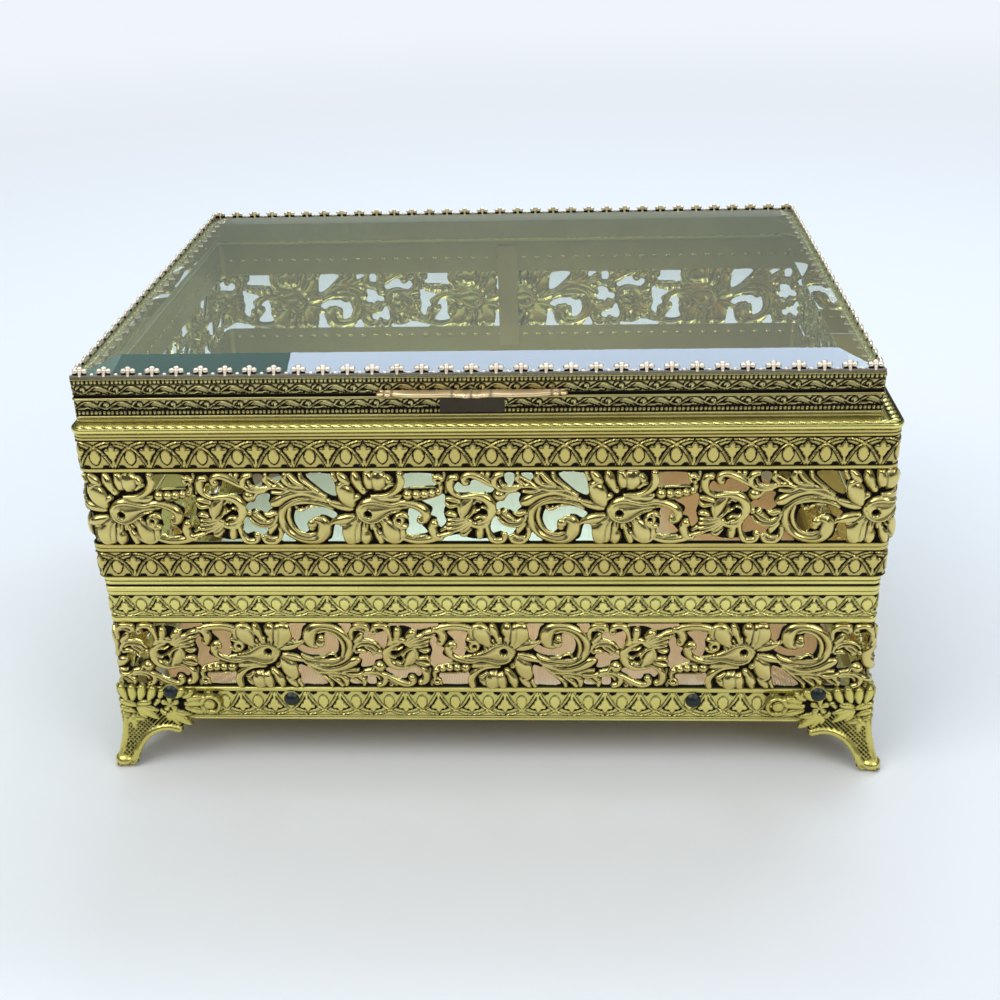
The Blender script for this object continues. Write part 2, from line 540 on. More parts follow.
PLUME = (
    Stroke(((-25.2, 11.8), (-24.0, 12.4), (-22.0, 13.7), (-19.4, 14.7), (-16.4, 15.0), (-13.0, 14.0),
            (-10.2, 12.6)),
           (0.6, 1.15, 1.0, 0.8, 0.7, 0.6, 0.4), 0.6, 0.75, 1),
    Stroke(((-25.2, 16.7), (-23.3, 17.0), (-21.0, 16.3), (-18.0, 15.9), (-14.0, 15.7), (-11.0, 14.0)),
           (0.45, 0.7, 0.5, 0.5, 0.5, 0.4), 0.5, 0.65),
    Stroke(((-24.9, 15.3), (-22.6, 15.2), (-20.4, 15.8)), (0.4, 0.55, 0.4), 0.5, 0.6),
    Stroke(((-21.3, 20.3), (-21.3, 18.7), (-20.0, 17.3), (-17.5, 16.8), (-15.0, 16.2)),
           (0.45, 0.8, 0.6, 0.5, 0.35), 0.5, 0.65, 1),
    Stroke(((-20.1, 20.3), (-18.7, 18.5), (-16.7, 17.2)), (0.5, 0.7, 0.4), 0.6, 0.6),
    Stroke(((-17.2, 20.4), (-16.8, 19.0), (-15.0, 17.3), (-12.7, 15.5)), (0.45, 0.55, 0.45, 0.4), 0.5, 0.6),
    Stroke(((-10.8, 12.5), (-13.2, 13.2), (-16.0, 13.5), (-19.0, 13.0), (-21.7, 11.4), (-23.0, 9.1),
            (-23.2, 6.9), (-22.4, 4.7), (-20.9, 2.8), (-18.6, 1.5), (-16.0, 1.0), (-13.8, 1.4),
            (-12.5, 2.8), (-12.0, 4.6), (-12.5, 6.4), (-13.8, 7.1)),
           (0.35, 0.5, 0.6, 0.7, 0.8, 0.85, 0.85, 0.85, 0.85, 0.85, 0.95, 1.15, 1.4, 1.5, 1.3, 1.0),
           0.55, 0.8, 2),
    knob(-15.1, 6.2, 1.2, 0.9, 0.75),
    knob(-15.3, 4.9, 0.9, 0.6, 0.6),
    Stroke(((-20.8, 10.6), (-21.3, 8.0), (-20.6, 5.3), (-18.8, 3.3), (-16.4, 2.5), (-14.6, 3.0)),
           (0.4, 0.5, 0.5, 0.5, 0.45, 0.4), 0.3, 0.5, 1),
    Stroke(((-21.4, 11.0), (-19.0, 12.0), (-16.0, 12.3), (-12.2, 11.9)), (0.4, 0.5, 0.5, 0.4), 0.35, 0.5, 1),
    Stroke(((-19.0, 10.8), (-18.2, 9.9), (-16.9, 10.2), (-15.6, 11.0), (-13.0, 11.1)),
           (0.3, 0.35, 0.3, 0.3, 0.25), 0.4, 0.4),
    Stroke(((-12.8, 12.0), (-10.6, 11.2), (-9.5, 10.3)), (0.5, 0.6, 0.4), 0.4, 0.5),
    Stroke(((-11.0, 5.2), (-10.1, 5.9), (-9.2, 7.0)), (0.4, 0.5, 0.4), 0.2, 0.35),
)

# Openings between the forms, as rings of points
WINDOWS = (
    ((10, 20.2), (17.7, 20.2), (17.5, 18.9), (18.4, 17), (15.3, 16.6), (10.3, 15.9), (9.7, 17.3)),
    ((14.1, 12.8), (19.8, 14.5), (20.4, 11.7), (19.8, 8.9), (20.4, 6.1), (18.7, 4.5), (17.9, 7.3),
     (16.4, 8.2), (16.9, 10.4)),
    ((11.2, 10.7), (13.4, 9.7), (14.6, 8.1), (12.7, 7.2), (13.6, 5.6), (15.3, 2.9), (10.3, 2.4), (9.6, 3.4),
     (10.5, 5.4), (10.3, 8.2)),
    ((18.1, 0.9), (20.6, 1.8), (23.4, 2.4), (25.6, 1.6), (28.1, 1), (31.6, 1.2), (31.9, 0.2), (17.5, 0.2)),
    ((-9.2, 5.4), (-7.5, 5.2), (-7.2, 2.9), (-6.8, 1), (-6.6, 0.2), (-12.1, 0.2), (-10.3, 1.5)),
    ((-15.8, 20.2), (-9.1, 20.2), (-8.4, 17.9), (-8.1, 14.1), (-9.8, 14.2), (-12.2, 15.9)),
    ((-18.8, 10.3), (-14.7, 10.7), (-11, 10.4), (-8.3, 8.6), (-9.7, 7.2), (-11.3, 8.1), (-13.1, 8.2),
     (-15, 7.4), (-16.3, 6), (-16.3, 3.7), (-17.8, 3.2), (-19.4, 4.8), (-20, 7.3)),
    ((36.9, 14.2), (40.0, 14.6), (39.6, 12.3), (40.5, 10.7), (38.4, 9.2), (36.0, 10.2), (34.0, 9.8),
     (33.9, 11.8), (35.8, 12.4)),
    ((32.6, 7.0), (33.4, 8.2), (34.6, 6.6), (36.4, 5.2), (38.6, 4.8), (38.2, 3.2), (36.6, 2.2), (35.9, 3.5),
     (34.4, 3.2), (32.6, 2.8), (32.0, 4.4)),
    ((42.0, 0.2), (43.0, 3.2), (44.8, 1.4), (45.8, 0.2)),
    ((36.2, 20.2), (38.5, 20.2), (38.5, 18.0), (37.9, 17.0), (36.3, 17.6)),
    ((40.3, 20.2), (43.2, 20.2), (43.4, 18.6), (42.0, 18.3)),
    ((22.9, 16.4), (24.0, 17.8), (25.3, 16.7), (26.9, 16.9), (27.6, 18.3), (29.4, 18.2), (31.4, 17.0),
     (33.2, 15.8), (32.4, 14.6), (30.4, 14.9), (27.4, 14.9), (25.2, 14.6), (23.6, 15.0)),
    ((20.6, 20.3), (21.0, 20.3), (21.1, 19.6), (20.6, 19.6)),
)

# Round hollows sunk into the scrollwork: along, up, radius
EYES = ((-0.1, 8.9, 1.15), (28.9, 11.3, 1.0), (30.4, 9.4, 1.05), (7.9, 7.1, 0.6))


# One repeat of the palmette border: seven of them make a repeat of the scrollwork
PALMETTE_REPEAT = REPEAT / 7
PALMETTE_H = 7.4

PALMETTES = (
    Stroke(((0, 1.2), (0, 2.1), (0, 3.1), (0, 4.2), (0, 5.2)), (0.15, 0.9, 1.3, 0.85, 0.15), 0.26, 0.1),
    Stroke(((4.4, 0.3), (3.5, 2.0), (2.5, 3.6), (1.4, 4.9), (0, 5.8), (-1.3, 6.5), (-2.8, 7.0), (-4.2, 7.2)),
           (0.24,) * 8, 0.26, 0.14),
    Stroke(((5.0, 0.3), (5.9, 2.0), (6.9, 3.6), (8.0, 4.9), (9.4, 5.8), (10.7, 6.5), (12.2, 7.0),
            (13.6, 7.2)),
           (0.24,) * 8, 0.26, 0.14),
    Stroke(((4.7, 0.9), (4.7, 1.9)), (0.3, 0.3), 0.18, 0.05),
    Stroke(((4.7, 2.5), (4.7, 3.6), (4.7, 4.9), (4.7, 6.1)), (0.4, 1.0, 0.85, 0.3), 0.26, 0.16),
    Stroke(((4.6, 3.7), (3.8, 4.4), (3.2, 4.8)), (0.6, 0.72, 0.5), 0.26, 0.16),
    Stroke(((4.8, 3.7), (5.6, 4.4), (6.2, 4.8)), (0.6, 0.72, 0.5), 0.26, 0.16),
)

# Where the ground between the palmettes is black all over: about each leaf, and two cups above
PALMETTE_SHADES = (((4.1, 0.2), (2.5, 2.6), (1.7, 4.2), (2.0, 5.4), (4.7, 6.2), (7.4, 5.4), (7.7, 4.2),
                    (6.9, 2.6), (5.3, 0.2)),
                   ((1.5, 0.05), (2.1, 0.9), (3.1, 0.9), (3.5, 0.05)),
                   ((5.9, 0.05), (6.3, 0.9), (7.3, 0.9), (7.9, 0.05)))

# One repeat of the vine on the collar and on the lid's band
VINE_REPEAT = 8.75
VINE_H = 2.5

VINE = (
    Stroke(((-0.8, 1.3), (0.6, 2.1), (2.2, 2.1), (3.6, 1.3), (5.0, 0.5), (6.4, 0.35), (7.9, 1.2),
            (9.3, 2.1)),
           (0.17,) * 8, 0.12, 0.12),
    Stroke(((0.4, 1.2), (1.6, 1.55), (3.0, 1.0), (4.0, 0.25)), (0.2, 0.5, 0.42, 0.12), 0.12, 0.16, 1),
    Stroke(arc(6.2, 1.35, 0.5, -80, 200, 7), (0.2,) * 7, 0.12, 0.14),
    knob(6.2, 1.35, 0.24, 0.12, 0.16),
    Stroke(((4.4, 1.3), (4.9, 2.0), (5.6, 2.3)), (0.15, 0.28, 0.12), 0.12, 0.14),
    Stroke(((7.3, 0.2), (8.3, 0.35), (9.2, 0.3)), (0.12, 0.3, 0.12), 0.12, 0.14),
    Stroke(((0.2, 0.35), (1.2, 0.5), (2.0, 0.35)), (0.12, 0.26, 0.12), 0.12, 0.14),
)

# A row of beads, and a twisted rope
BEAD_PITCH = 1.1
BEAD_H = 1.2
BEADS = (Stroke(((0.55, 0.42), (0.55, 0.78)), (0.4, 0.4), 0.0, 0.36),)
ROPE_PITCH = 2.7
ROPE_H = 1.2
ROPE = (Stroke(((0.1, 0.95), (1.3, 0.6), (2.6, 0.25)), (0.2, 0.42, 0.2), 0.05, 0.45),)


# ---- walls and meshes ----


@dataclass(frozen=True)
class Loop:
    """A rectangle with round corners, walked from the middle of its front towards the right.

    Attributes:
        width: Size along X.
        depth: Size along Y.
        radius: Radius of the corners.
        shift: How far its middle lies along X.
    """

    width: float
    depth: float
    radius: float
    shift: float = 0.0

    def lengths(self) -> np.ndarray:
        """Lengths of its nine runs: half the front, then corners and sides in turn.

        Returns:
            The nine lengths, in order.
        """
        bend = math.pi / 2 * self.radius
        wide, deep = self.width - 2 * self.radius, self.depth - 2 * self.radius
        return np.array([wide / 2, bend, deep, bend, wide, bend, deep, bend, wide / 2])

    def station(self, s: np.ndarray) -> np.ndarray:
        """Turns running lengths into run numbers with the share of the run covered.

        Args:
            s: Running lengths from the middle of the front.

        Returns:
            The stations: whole numbers where a run starts.
        """
        lengths = self.lengths()
        starts = np.concatenate([[0], np.cumsum(lengths)])
        s = np.mod(s, starts[-1])
        run = np.clip(np.searchsorted(starts, s, side="right") - 1, 0, 8)
        return run + (s - starts[run]) / lengths[run]

    def place(self, station: np.ndarray, out: np.ndarray | float = 0.0) -> tuple[np.ndarray, np.ndarray]:
        """Places at stations, moved outwards square to the loop.

        On a side a place is the run's start plus the share times the run; on a corner it is the
        corner's middle plus (radius + out) times the turned outward direction.

        Args:
            station: Stations, as the method above gives them.
            out: Distance outwards from the loop.

        Returns:
            X and Y.
        """
        run = np.clip(np.floor(station).astype(int), 0, 8)
        share = station - run
        x, y, r = self.width / 2, self.depth / 2, self.radius
        starts = np.array([(0, -y), (x - r, r - y), (x, r - y), (x - r, y - r), (x - r, y),
                           (r - x, y - r), (-x, y - r), (r - x, r - y), (r - x, -y)])[run]
        heading = np.radians([0, 0, 90, 90, 180, 180, 270, 270, 360])[run]
        bent = run % 2 == 1
        turned = heading + np.where(bent, share * math.pi / 2, 0)
        walked = np.where(bent, 0, share * self.lengths()[run])
        away = np.asarray(out) + np.where(bent, r, 0)
        return (starts[..., 0] + walked * np.cos(heading) + away * np.sin(turned) + self.shift,
                starts[..., 1] + walked * np.sin(heading) - away * np.cos(turned))

    def points(self, s: np.ndarray, z: np.ndarray, out: np.ndarray) -> np.ndarray:
        """Points at running lengths and levels, moved outwards square to the loop."""
        return np.stack([*self.place(self.station(s), out), z], -1)


def sheet_faces(rows: int, columns: int, wrap_rows: bool = False, wrap_columns: bool = False) -> np.ndarray:
    """Corners of the cells of a grid, in an order that makes rows x columns their front.

    Args:
        rows: Number of rows.
        columns: Number of columns.
        wrap_rows: Whether the last row joins the first.
        wrap_columns: Whether the last column joins the first.

    Returns:
        An array of cells with four corners each.
    """
    index = np.arange(rows * columns).reshape(rows, columns)
    if wrap_rows:
        index = np.vstack([index, index[:1]])
    if wrap_columns:
        index = np.hstack([index, index[:, :1]])
    return np.stack([index[:-1, :-1], index[:-1, 1:], index[1:, 1:], index[1:, :-1]], -1).reshape(-1, 4)


class Solid:
    """A mesh in the making: points in millimetres, faces, and how recessed each point is."""

    def __init__(self) -> None:
        """Starts with no points and no faces."""
        self.points: list[np.ndarray] = []
        self.recess: list[np.ndarray] = []
        self.faces: list[np.ndarray] = []
        self.count = 0

    def add(self, points: np.ndarray, faces: list, recess: np.ndarray | float = 0.0) -> None:
        """Adds points, and faces that number these points from 0.

        Args:
            points: Places, with X, Y and Z last.
            faces: Arrays of faces, one array for each number of corners.
            recess: How recessed each point is.
        """
        flat = points.reshape(-1, 3)
        self.points.append(flat)
        self.recess.append(np.broadcast_to(np.ravel(recess), (len(flat),)))
        self.faces += [face + self.count for face in faces if len(face)]
        self.count += len(flat)

    def add_loft(self, points: np.ndarray, recess: np.ndarray | float = 0.0, closed: bool = False) -> None:
        """Adds a tube, whose section runs down the rows and whose length runs along the columns.

        Args:
            points: Grid of places: section, length, XYZ.
            recess: How recessed each point is.
            closed: Whether the tube's end joins its start; otherwise both ends are capped.
        """
        rows, columns = points.shape[:2]
        faces = [sheet_faces(rows, columns, wrap_rows=True, wrap_columns=closed)]
        if not closed:
            index = np.arange(rows * columns).reshape(rows, columns)
            faces += [index[:, 0][None], index[::-1, -1][None]]
        self.add(points, faces, recess)

    def add_shell(self, outer: np.ndarray, inner: np.ndarray, faces: list, recess: np.ndarray,
                  inner_recess: np.ndarray | float) -> None:
        """Adds a sheet with a front, a back, and a wall along every free edge.

        A free edge is one that a single face uses; its wall joins the two skins there.

        Args:
            outer: Places of the front.
            inner: Places of the back, one for each point of the front.
            faces: Faces of the front, arrays of three or four corners.
            recess: How recessed each point of the front is.
            inner_recess: How recessed the back is.
        """
        outer, inner = outer.reshape(-1, 3), inner.reshape(-1, 3)
        edges = np.vstack([np.stack([face, np.roll(face, -1, 1)], -1).reshape(-1, 2) for face in faces])
        key = np.sort(edges, 1) @ np.array([len(outer), 1])
        _, first, uses = np.unique(key, return_index=True, return_counts=True)
        used = np.unique(np.concatenate([face.ravel() for face in faces]))
        number = np.zeros(len(outer), int)
        number[used] = np.arange(len(used))
        free = number[edges[first[uses == 1]]]
        fronts = [number[face] for face in faces]
        backs = [face[:, ::-1] + len(used) for face in fronts]
        walls = np.stack([free[:, 1], free[:, 0], free[:, 0] + len(used), free[:, 1] + len(used)], -1)
        shades = [np.broadcast_to(np.ravel(shade), (len(outer),))[used] for shade in (recess, inner_recess)]
        self.add(np.vstack([outer[used], inner[used]]), fronts + backs + [walls], np.concatenate(shades))

    def add_skin(self, points: np.ndarray, columns: int) -> None:
        """Adds a closed skin: rings one above the other, then its lower and its upper pole.

        Args:
            points: The rings' points in order, and the two poles last.
            columns: Number of points in each ring.
        """
        pole = len(points) - 2
        here = np.arange(columns)
        after = np.roll(here, -1)
        caps = [np.stack([np.full(columns, pole), after, here], -1),
                np.stack([here + pole - columns, after + pole - columns, np.full(columns, pole + 1)], -1)]
        self.add(points, [sheet_faces(pole // columns, columns, wrap_columns=True), *caps])

    def add_ball(self, middle: tuple, radii: tuple, columns: int, rows: int,
                 place: Callable | None = None) -> None:
        """Adds a closed ellipsoid: middle + radii * (cos lat cos lon, cos lat sin lon, sin lat).

        Args:
            middle: Its middle.
            radii: Its three half sizes.
            columns: Points round it.
            rows: Bands from pole to pole.
            place: Turns its places into real ones, if they aren't yet.
        """
        lat = np.linspace(-math.pi / 2, math.pi / 2, rows + 1)[1:-1]
        lon = np.linspace(0, 2 * math.pi, columns, endpoint=False)
        north, east = np.meshgrid(lat, lon, indexing="ij")
        unit = np.stack([np.cos(north) * np.cos(east), np.cos(north) * np.sin(east), np.sin(north)], -1)
        poles = [(0, 0, -1), (0, 0, 1)]
        points = np.array(middle) + np.array(radii) * np.vstack([unit.reshape(-1, 3), poles])
        self.add_skin(place(points) if place else points, columns)

    def place(self, middle: np.ndarray, mirror: np.ndarray) -> None:
        """Mirrors what is there axis by axis and moves it; an odd mirroring turns its faces round.

        Args:
            middle: Where the drawing's origin goes.
            mirror: 1 or -1 for each axis.
        """
        self.points = [points * mirror + middle for points in self.points]
        if mirror.prod() < 0:
            self.faces = [face[:, ::-1] for face in self.faces]

    def make(self, name: str, material: bpy.types.Material, sharp: float = 50.0) -> bpy.types.Object:
        """Makes the object and its mesh.

        Args:
            name: Name of the piece.
            material: Its material.
            sharp: Edges that turn by more than this many degrees stay crisp.

        Returns:
            The object, at the origin.
        """
        points = np.vstack(self.points) * MM
        corners = np.concatenate([face.ravel() for face in self.faces]).astype(np.int32)
        sizes = np.concatenate([np.full(len(face), face.shape[1]) for face in self.faces])
        mesh = bpy.data.meshes.new(name)
        mesh.vertices.add(len(points))
        mesh.vertices.foreach_set("co", points.astype(np.float32).ravel())
        mesh.loops.add(len(corners))
        mesh.loops.foreach_set("vertex_index", corners)
        mesh.polygons.add(len(sizes))
        starts = np.concatenate([[0], np.cumsum(sizes)[:-1]])
        mesh.polygons.foreach_set("loop_start", starts.astype(np.int32))
        mesh.polygons.foreach_set("use_smooth", np.ones(len(sizes), bool))
        shade = mesh.attributes.new("recess", "FLOAT", "POINT")
        shade.data.foreach_set("value", np.concatenate(self.recess).astype(np.float32))
        mesh.update(calc_edges=True)
        mesh.validate()
        mesh.set_sharp_from_angle(angle=math.radians(sharp))
        mesh.materials.append(material)
        piece = bpy.data.objects.new(name, mesh)
        bpy.context.scene.collection.objects.link(piece)
        log.info("%s: %d triangles", name, int((sizes - 2).sum()))
        return piece


def moved_onto_edge(read: Callable, u: np.ndarray, h: np.ndarray, step: float) -> tuple:
    """Moves grid points that lie near an opening's edge onto it, along the depth's gradient.

    Args:
        read: Gives the depth inside the metal at places of the grid.
        u: Places along the grid.
        h: Places across it.
        step: Distance between the grid's points.

    Returns:
        The moved places along and across, and the depth before the move.
    """
    reach, least = 0.12, 0.3
    depth = read(u, h)
    slope_u = (read(u + reach, h) - read(u - reach, h)) / (2 * reach)
    slope_h = (read(u, h + reach) - read(u, h - reach)) / (2 * reach)
    steep = np.maximum(slope_u**2 + slope_h**2, least)
    near = np.abs(depth) < AT_EDGE * step
    near[:, [0, -1]] = False
    near[[0, -1]] = False
    moved_u, moved_h = u - depth * slope_u / steep, h - depth * slope_h / steep
    return np.where(near, moved_u, u), np.where(near, moved_h, h), depth


def cut_cells(depth: np.ndarray, step: float) -> list:
    """Cells of a grid that are kept where a contour cuts it, once points near it are moved onto it.

    A cell with four corners inside or at the edge stays whole; one with three becomes a triangle.

    Args:
        depth: Grid of depths inside the material, negative outside.
        step: Distance between the grid's points.

    Returns:
        An array of quads and four arrays of triangles.
    """
    cells = sheet_faces(*depth.shape)
    kept = (depth > -AT_EDGE * step).ravel()[cells]
    three = kept.sum(1) == 3
    return [cells[kept.all(1)]] + [np.delete(cells[~kept[:, gone] & three], gone, 1) for gone in range(4)]


# ---- finishes ----


class Wiring:
    """The nodes of a material or a sky; a value is a number, a colour or another node's output."""

    def __init__(self, tree: bpy.types.NodeTree) -> None:
        """Starts on a tree that has its shader and its output already."""
        self.tree = tree

    def feed(self, node: bpy.types.Node, inputs: dict) -> None:
        """Joins or sets a node's inputs, given by name or number.

        Args:
            node: The node.
            inputs: Its inputs' values, by name or number.
        """
        for name, value in inputs.items():
            if isinstance(value, bpy.types.NodeSocket):
                self.tree.links.new(value, node.inputs[name])
            else:
                node.inputs[name].default_value = (*value, 1) if isinstance(value, tuple) else value

    def add(self, kind: str, output: str, inputs: dict | None = None,
            **settings: object) -> bpy.types.NodeSocket:
        """Adds a node.

        Args:
            kind: Its type, without the leading word.
            output: The name of the output that is wanted.
            inputs: Its inputs, by name or number.
            settings: Its settings.

        Returns:
            The output.
        """
        node = self.tree.nodes.new(f"ShaderNode{kind}")
        for name, value in settings.items():
            setattr(node, name, value)
        self.feed(node, inputs or {})
        return node.outputs[output]

    def place(self) -> bpy.types.NodeSocket:
        """Where the point that is shaded lies in its object."""
        return self.add("TexCoord", "Object")

    def noise(self, scale: float, detail: float, roughness: float = 0.5) -> bpy.types.NodeSocket:
        """A cloudy noise fixed to the object."""
        return self.add("TexNoise", "Fac", {"Vector": self.place(), "Scale": scale, "Detail": detail,
                                            "Roughness": roughness})

    def ranged(self, value: object, start: float, end: float, low: float = 0.0, high: float = 1.0,
               curve: str = "LINEAR") -> bpy.types.NodeSocket:
        """Carries what runs from start to end over to low and high, and stops there.

        Args:
            value: What runs from start to end.
            start: Where it starts.
            end: Where it ends.
            low: What the start becomes.
            high: What the end becomes.
            curve: How it runs between them.

        Returns:
            The node's output.
        """
        return self.add("MapRange", "Result",
                        {"Value": value, "From Min": start, "From Max": end, "To Min": low,
                                               "To Max": high}, interpolation_type=curve)

    def maths(self, operation: str, *values: object) -> bpy.types.NodeSocket:
        """Works a sum on its values."""
        return self.add("Math", "Value", dict(enumerate(values)), operation=operation)

    def mixed(self, share: object, first: object, second: object) -> bpy.types.NodeSocket:
        """Mixes two colours."""
        return self.add("Mix", "Result", {"Factor": share, "A": first, "B": second}, data_type="RGBA")

    def bump(self, height: object, strength: float, distance: float, **more: object) -> bpy.types.NodeSocket:
        """Turns heights into a dented surface direction."""
        return self.add("Bump", "Normal",
                        {"Height": height, "Strength": strength, "Distance": distance, **more})

    def shade(self, **inputs: object) -> bpy.types.NodeSocket:
        """Feeds the main shader, with underscores for spaces, and gives its output.

        Args:
            inputs: The shader's inputs, by name.

        Returns:
            The shader's output.
        """
        shader = self.tree.nodes["Principled BSDF"]
        self.feed(shader, {name.replace("_", " "): value for name, value in inputs.items()})
        return shader.outputs["BSDF"]

    def blended(self, share: object, first: object, second: object) -> bpy.types.NodeSocket:
        """Mixes two shaders."""
        return self.add("MixShader", "Shader", {"Fac": share, 1: first, 2: second})

    def show(self, shader: bpy.types.NodeSocket) -> None:
        """Shows a shader in place of the main one."""
        self.feed(self.tree.nodes["Material Output"], {"Surface": shader})


@dataclass(frozen=True)
class Surface:
    """What every finish has.

    Attributes:
        name: Name of its slot.
        colour: Linear colour.
    """

    name: str
    colour: Colour

    def wire(self, wires: Wiring) -> bpy.types.NodeSocket:
        """Feeds the main shader and gives its output."""
        return wires.shade(Base_Color=self.colour)

    def material(self) -> bpy.types.Material:
        """The finish's material, made on first use.

        Returns:
            The material.
        """
        title = f"{self.name}_finish"
        if title not in bpy.data.materials:
            made = bpy.data.materials.new(title)
            made.use_nodes = True
            self.wire(Wiring(made.node_tree))
        return bpy.data.materials[title]


@dataclass(frozen=True)
class Gilt(Surface):
    """Gilt metal with dark wax left in the hollows.

    Attributes:
        patina: Linear colour of the hollows.
        roughness: Roughness of the high places.
        dirt: How strongly the hollows darken.
        tarnish: How strongly the metal's colour wanders.
        grain: Height of the fine dents, in metres.
    """

    patina: Colour = (0.012, 0.010, 0.008)
    roughness: float = 0.24
    dirt: float = 1.0
    tarnish: float = 0.25
    grain: float = 0.00004

    def wire(self, wires: Wiring) -> bpy.types.NodeSocket:
        """Blackens and dulls the hollows, lets the colour wander and dents the metal finely.

        Args:
            wires: The material's nodes.

        Returns:
            The main shader's output.
        """
        fine = wires.noise(900.0, 3.0, 0.55)
        wander = wires.ranged(wires.noise(55.0, 4.0, 0.6), 0.38, 0.68, 0.0, self.tarnish)
        aged = wires.mixed(wander, self.colour, tuple(c * k for c, k in zip(self.colour, (0.55, 0.45, 0.3))))
        hollow = wires.maths("MULTIPLY", wires.add("Attribute", "Fac", attribute_name="recess"), self.dirt)
        rough = wires.ranged(fine, 0.3, 0.75, self.roughness, self.roughness + 0.12)
        return wires.shade(Base_Color=wires.mixed(hollow, aged, self.patina),
                           Metallic=wires.ranged(hollow, 0.0, 1.0, 1.0, 0.2),
                           Specular_IOR_Level=wires.ranged(hollow, 0.0, 1.0, 0.5, 0.04),
                           Roughness=wires.maths("MULTIPLY_ADD", hollow, 0.45, rough),
                           Normal=wires.bump(fine, 0.5, self.grain))


@dataclass(frozen=True)
class Glass(Surface):
    """Clear plate glass with a faint green body and a thin pale film on it.

    Attributes:
        film: Linear colour of the film.
    """

    film: Colour = (0.62, 0.72, 0.58)

    def wire(self, wires: Wiring) -> bpy.types.NodeSocket:
        """Ripples the pane, films it where it is seen at a slant, and lets shadow rays pass.

        Args:
            wires: The material's nodes.

        Returns:
            The main shader's output.
        """
        ripple = wires.bump(wires.noise(12.0, 2.0), 0.15, 0.0002)
        shader = wires.shade(Base_Color=self.colour, Roughness=0.0, IOR=1.5, Transmission_Weight=1.0,
                             Normal=ripple)
        slant = wires.ranged(wires.add("LayerWeight", "Facing"), 0.36, 0.52, 0.0, 0.12)
        dusty = wires.blended(slant, shader, wires.add("BsdfDiffuse", "BSDF", {"Color": self.film}))
        clear = wires.add("BsdfTransparent", "BSDF", {"Color": self.colour})
        wires.show(wires.blended(wires.add("LightPath", "Is Shadow Ray"), dusty, clear))
        return shader


@dataclass(frozen=True)
class Satin(Surface):
    """Woven satin with fine threads and soft puckers, bleached where daylight reaches it.

    Attributes:
        bleached: Linear colour of the part at the back and left that daylight reaches.
        thread: Threads in a metre.
        roughness: Roughness of the cloth.
    """

    bleached: Colour
    thread: float = 2600.0
    roughness: float = 0.34

    def wire(self, wires: Wiring) -> bpy.types.NodeSocket:
        """Weaves the threads, puckers the cloth and bleaches its lit part.

        Args:
            wires: The material's nodes.

        Returns:
            The main shader's output.
        """
        weave = wires.add("TexWave", "Fac", {"Vector": wires.place(), "Scale": self.thread / 6.28,
                                             "Distortion": 1.5, "Detail": 1.0}, bands_direction="X")
        cloud = wires.noise(40.0, 3.0)
        tone = wires.mixed(cloud, self.colour, tuple(0.78 * c for c in self.colour))
        lit = wires.maths("MULTIPLY", *(
            wires.ranged(wires.add("SeparateXYZ", axis, {"Vector": wires.place()}), start, end,
                         curve="SMOOTHSTEP")
            for axis, start, end in (("X", 0.062, 0.030), ("Y", -0.014, 0.010))))
        return wires.shade(Sheen_Weight=0.35, Sheen_Roughness=0.4, Roughness=self.roughness,
                           Base_Color=wires.mixed(lit, tone, self.bleached),
                           Normal=wires.bump(weave, 0.4, 0.0001, Normal=wires.bump(cloud, 0.5, 0.0012)))


@dataclass(frozen=True)
class Matte(Surface):
    """A dull surface with a speckle, such as card or the studio's floor.

    Attributes:
        roughness: Roughness.
        speckle: How much the colour varies.
        scale: Speckles in a metre.
    """

    roughness: float = 0.8
    speckle: float = 0.12
    scale: float = 500.0

    def wire(self, wires: Wiring) -> bpy.types.NodeSocket:
        """Speckles the surface and grains it.

        Args:
            wires: The material's nodes.

        Returns:
            The main shader's output.
        """
        grain = wires.noise(self.scale, 5.0)
        tone = wires.mixed(grain, self.colour, tuple((1 - self.speckle) * c for c in self.colour))
        return wires.shade(Roughness=self.roughness, Base_Color=tone, Normal=wires.bump(grain, 0.3, 0.0001))


@dataclass(frozen=True)
class Ground(Matte):
    """A dull floor that the camera sees no darker far off than near by.

    Attributes:
        near: Distance from the middle where the evening out begins, in metres.
        far: Distance from the middle where it is complete, in metres.
        glow: Linear colour of the far floor as it is seen.
    """

    near: float = 0.3
    far: float = 1.5
    glow: Colour = (0.86, 0.91, 0.96)

    def wire(self, wires: Wiring) -> bpy.types.NodeSocket:
        """Adds the glow to the dull surface.

        Args:
            wires: The material's nodes.

        Returns:
            The main shader's output.
        """
        shader = super().wire(wires)
        distance = wires.add("VectorMath", "Value", {"Vector": wires.place()}, operation="LENGTH")
        share = wires.ranged(distance, self.near, self.far, curve="SMOOTHSTEP")
        seen = wires.maths("MULTIPLY", share, wires.add("LightPath", "Is Camera Ray"))
        wires.show(wires.blended(seen, shader, wires.add("Emission", "Emission", {"Color": self.glow})))
        return shader


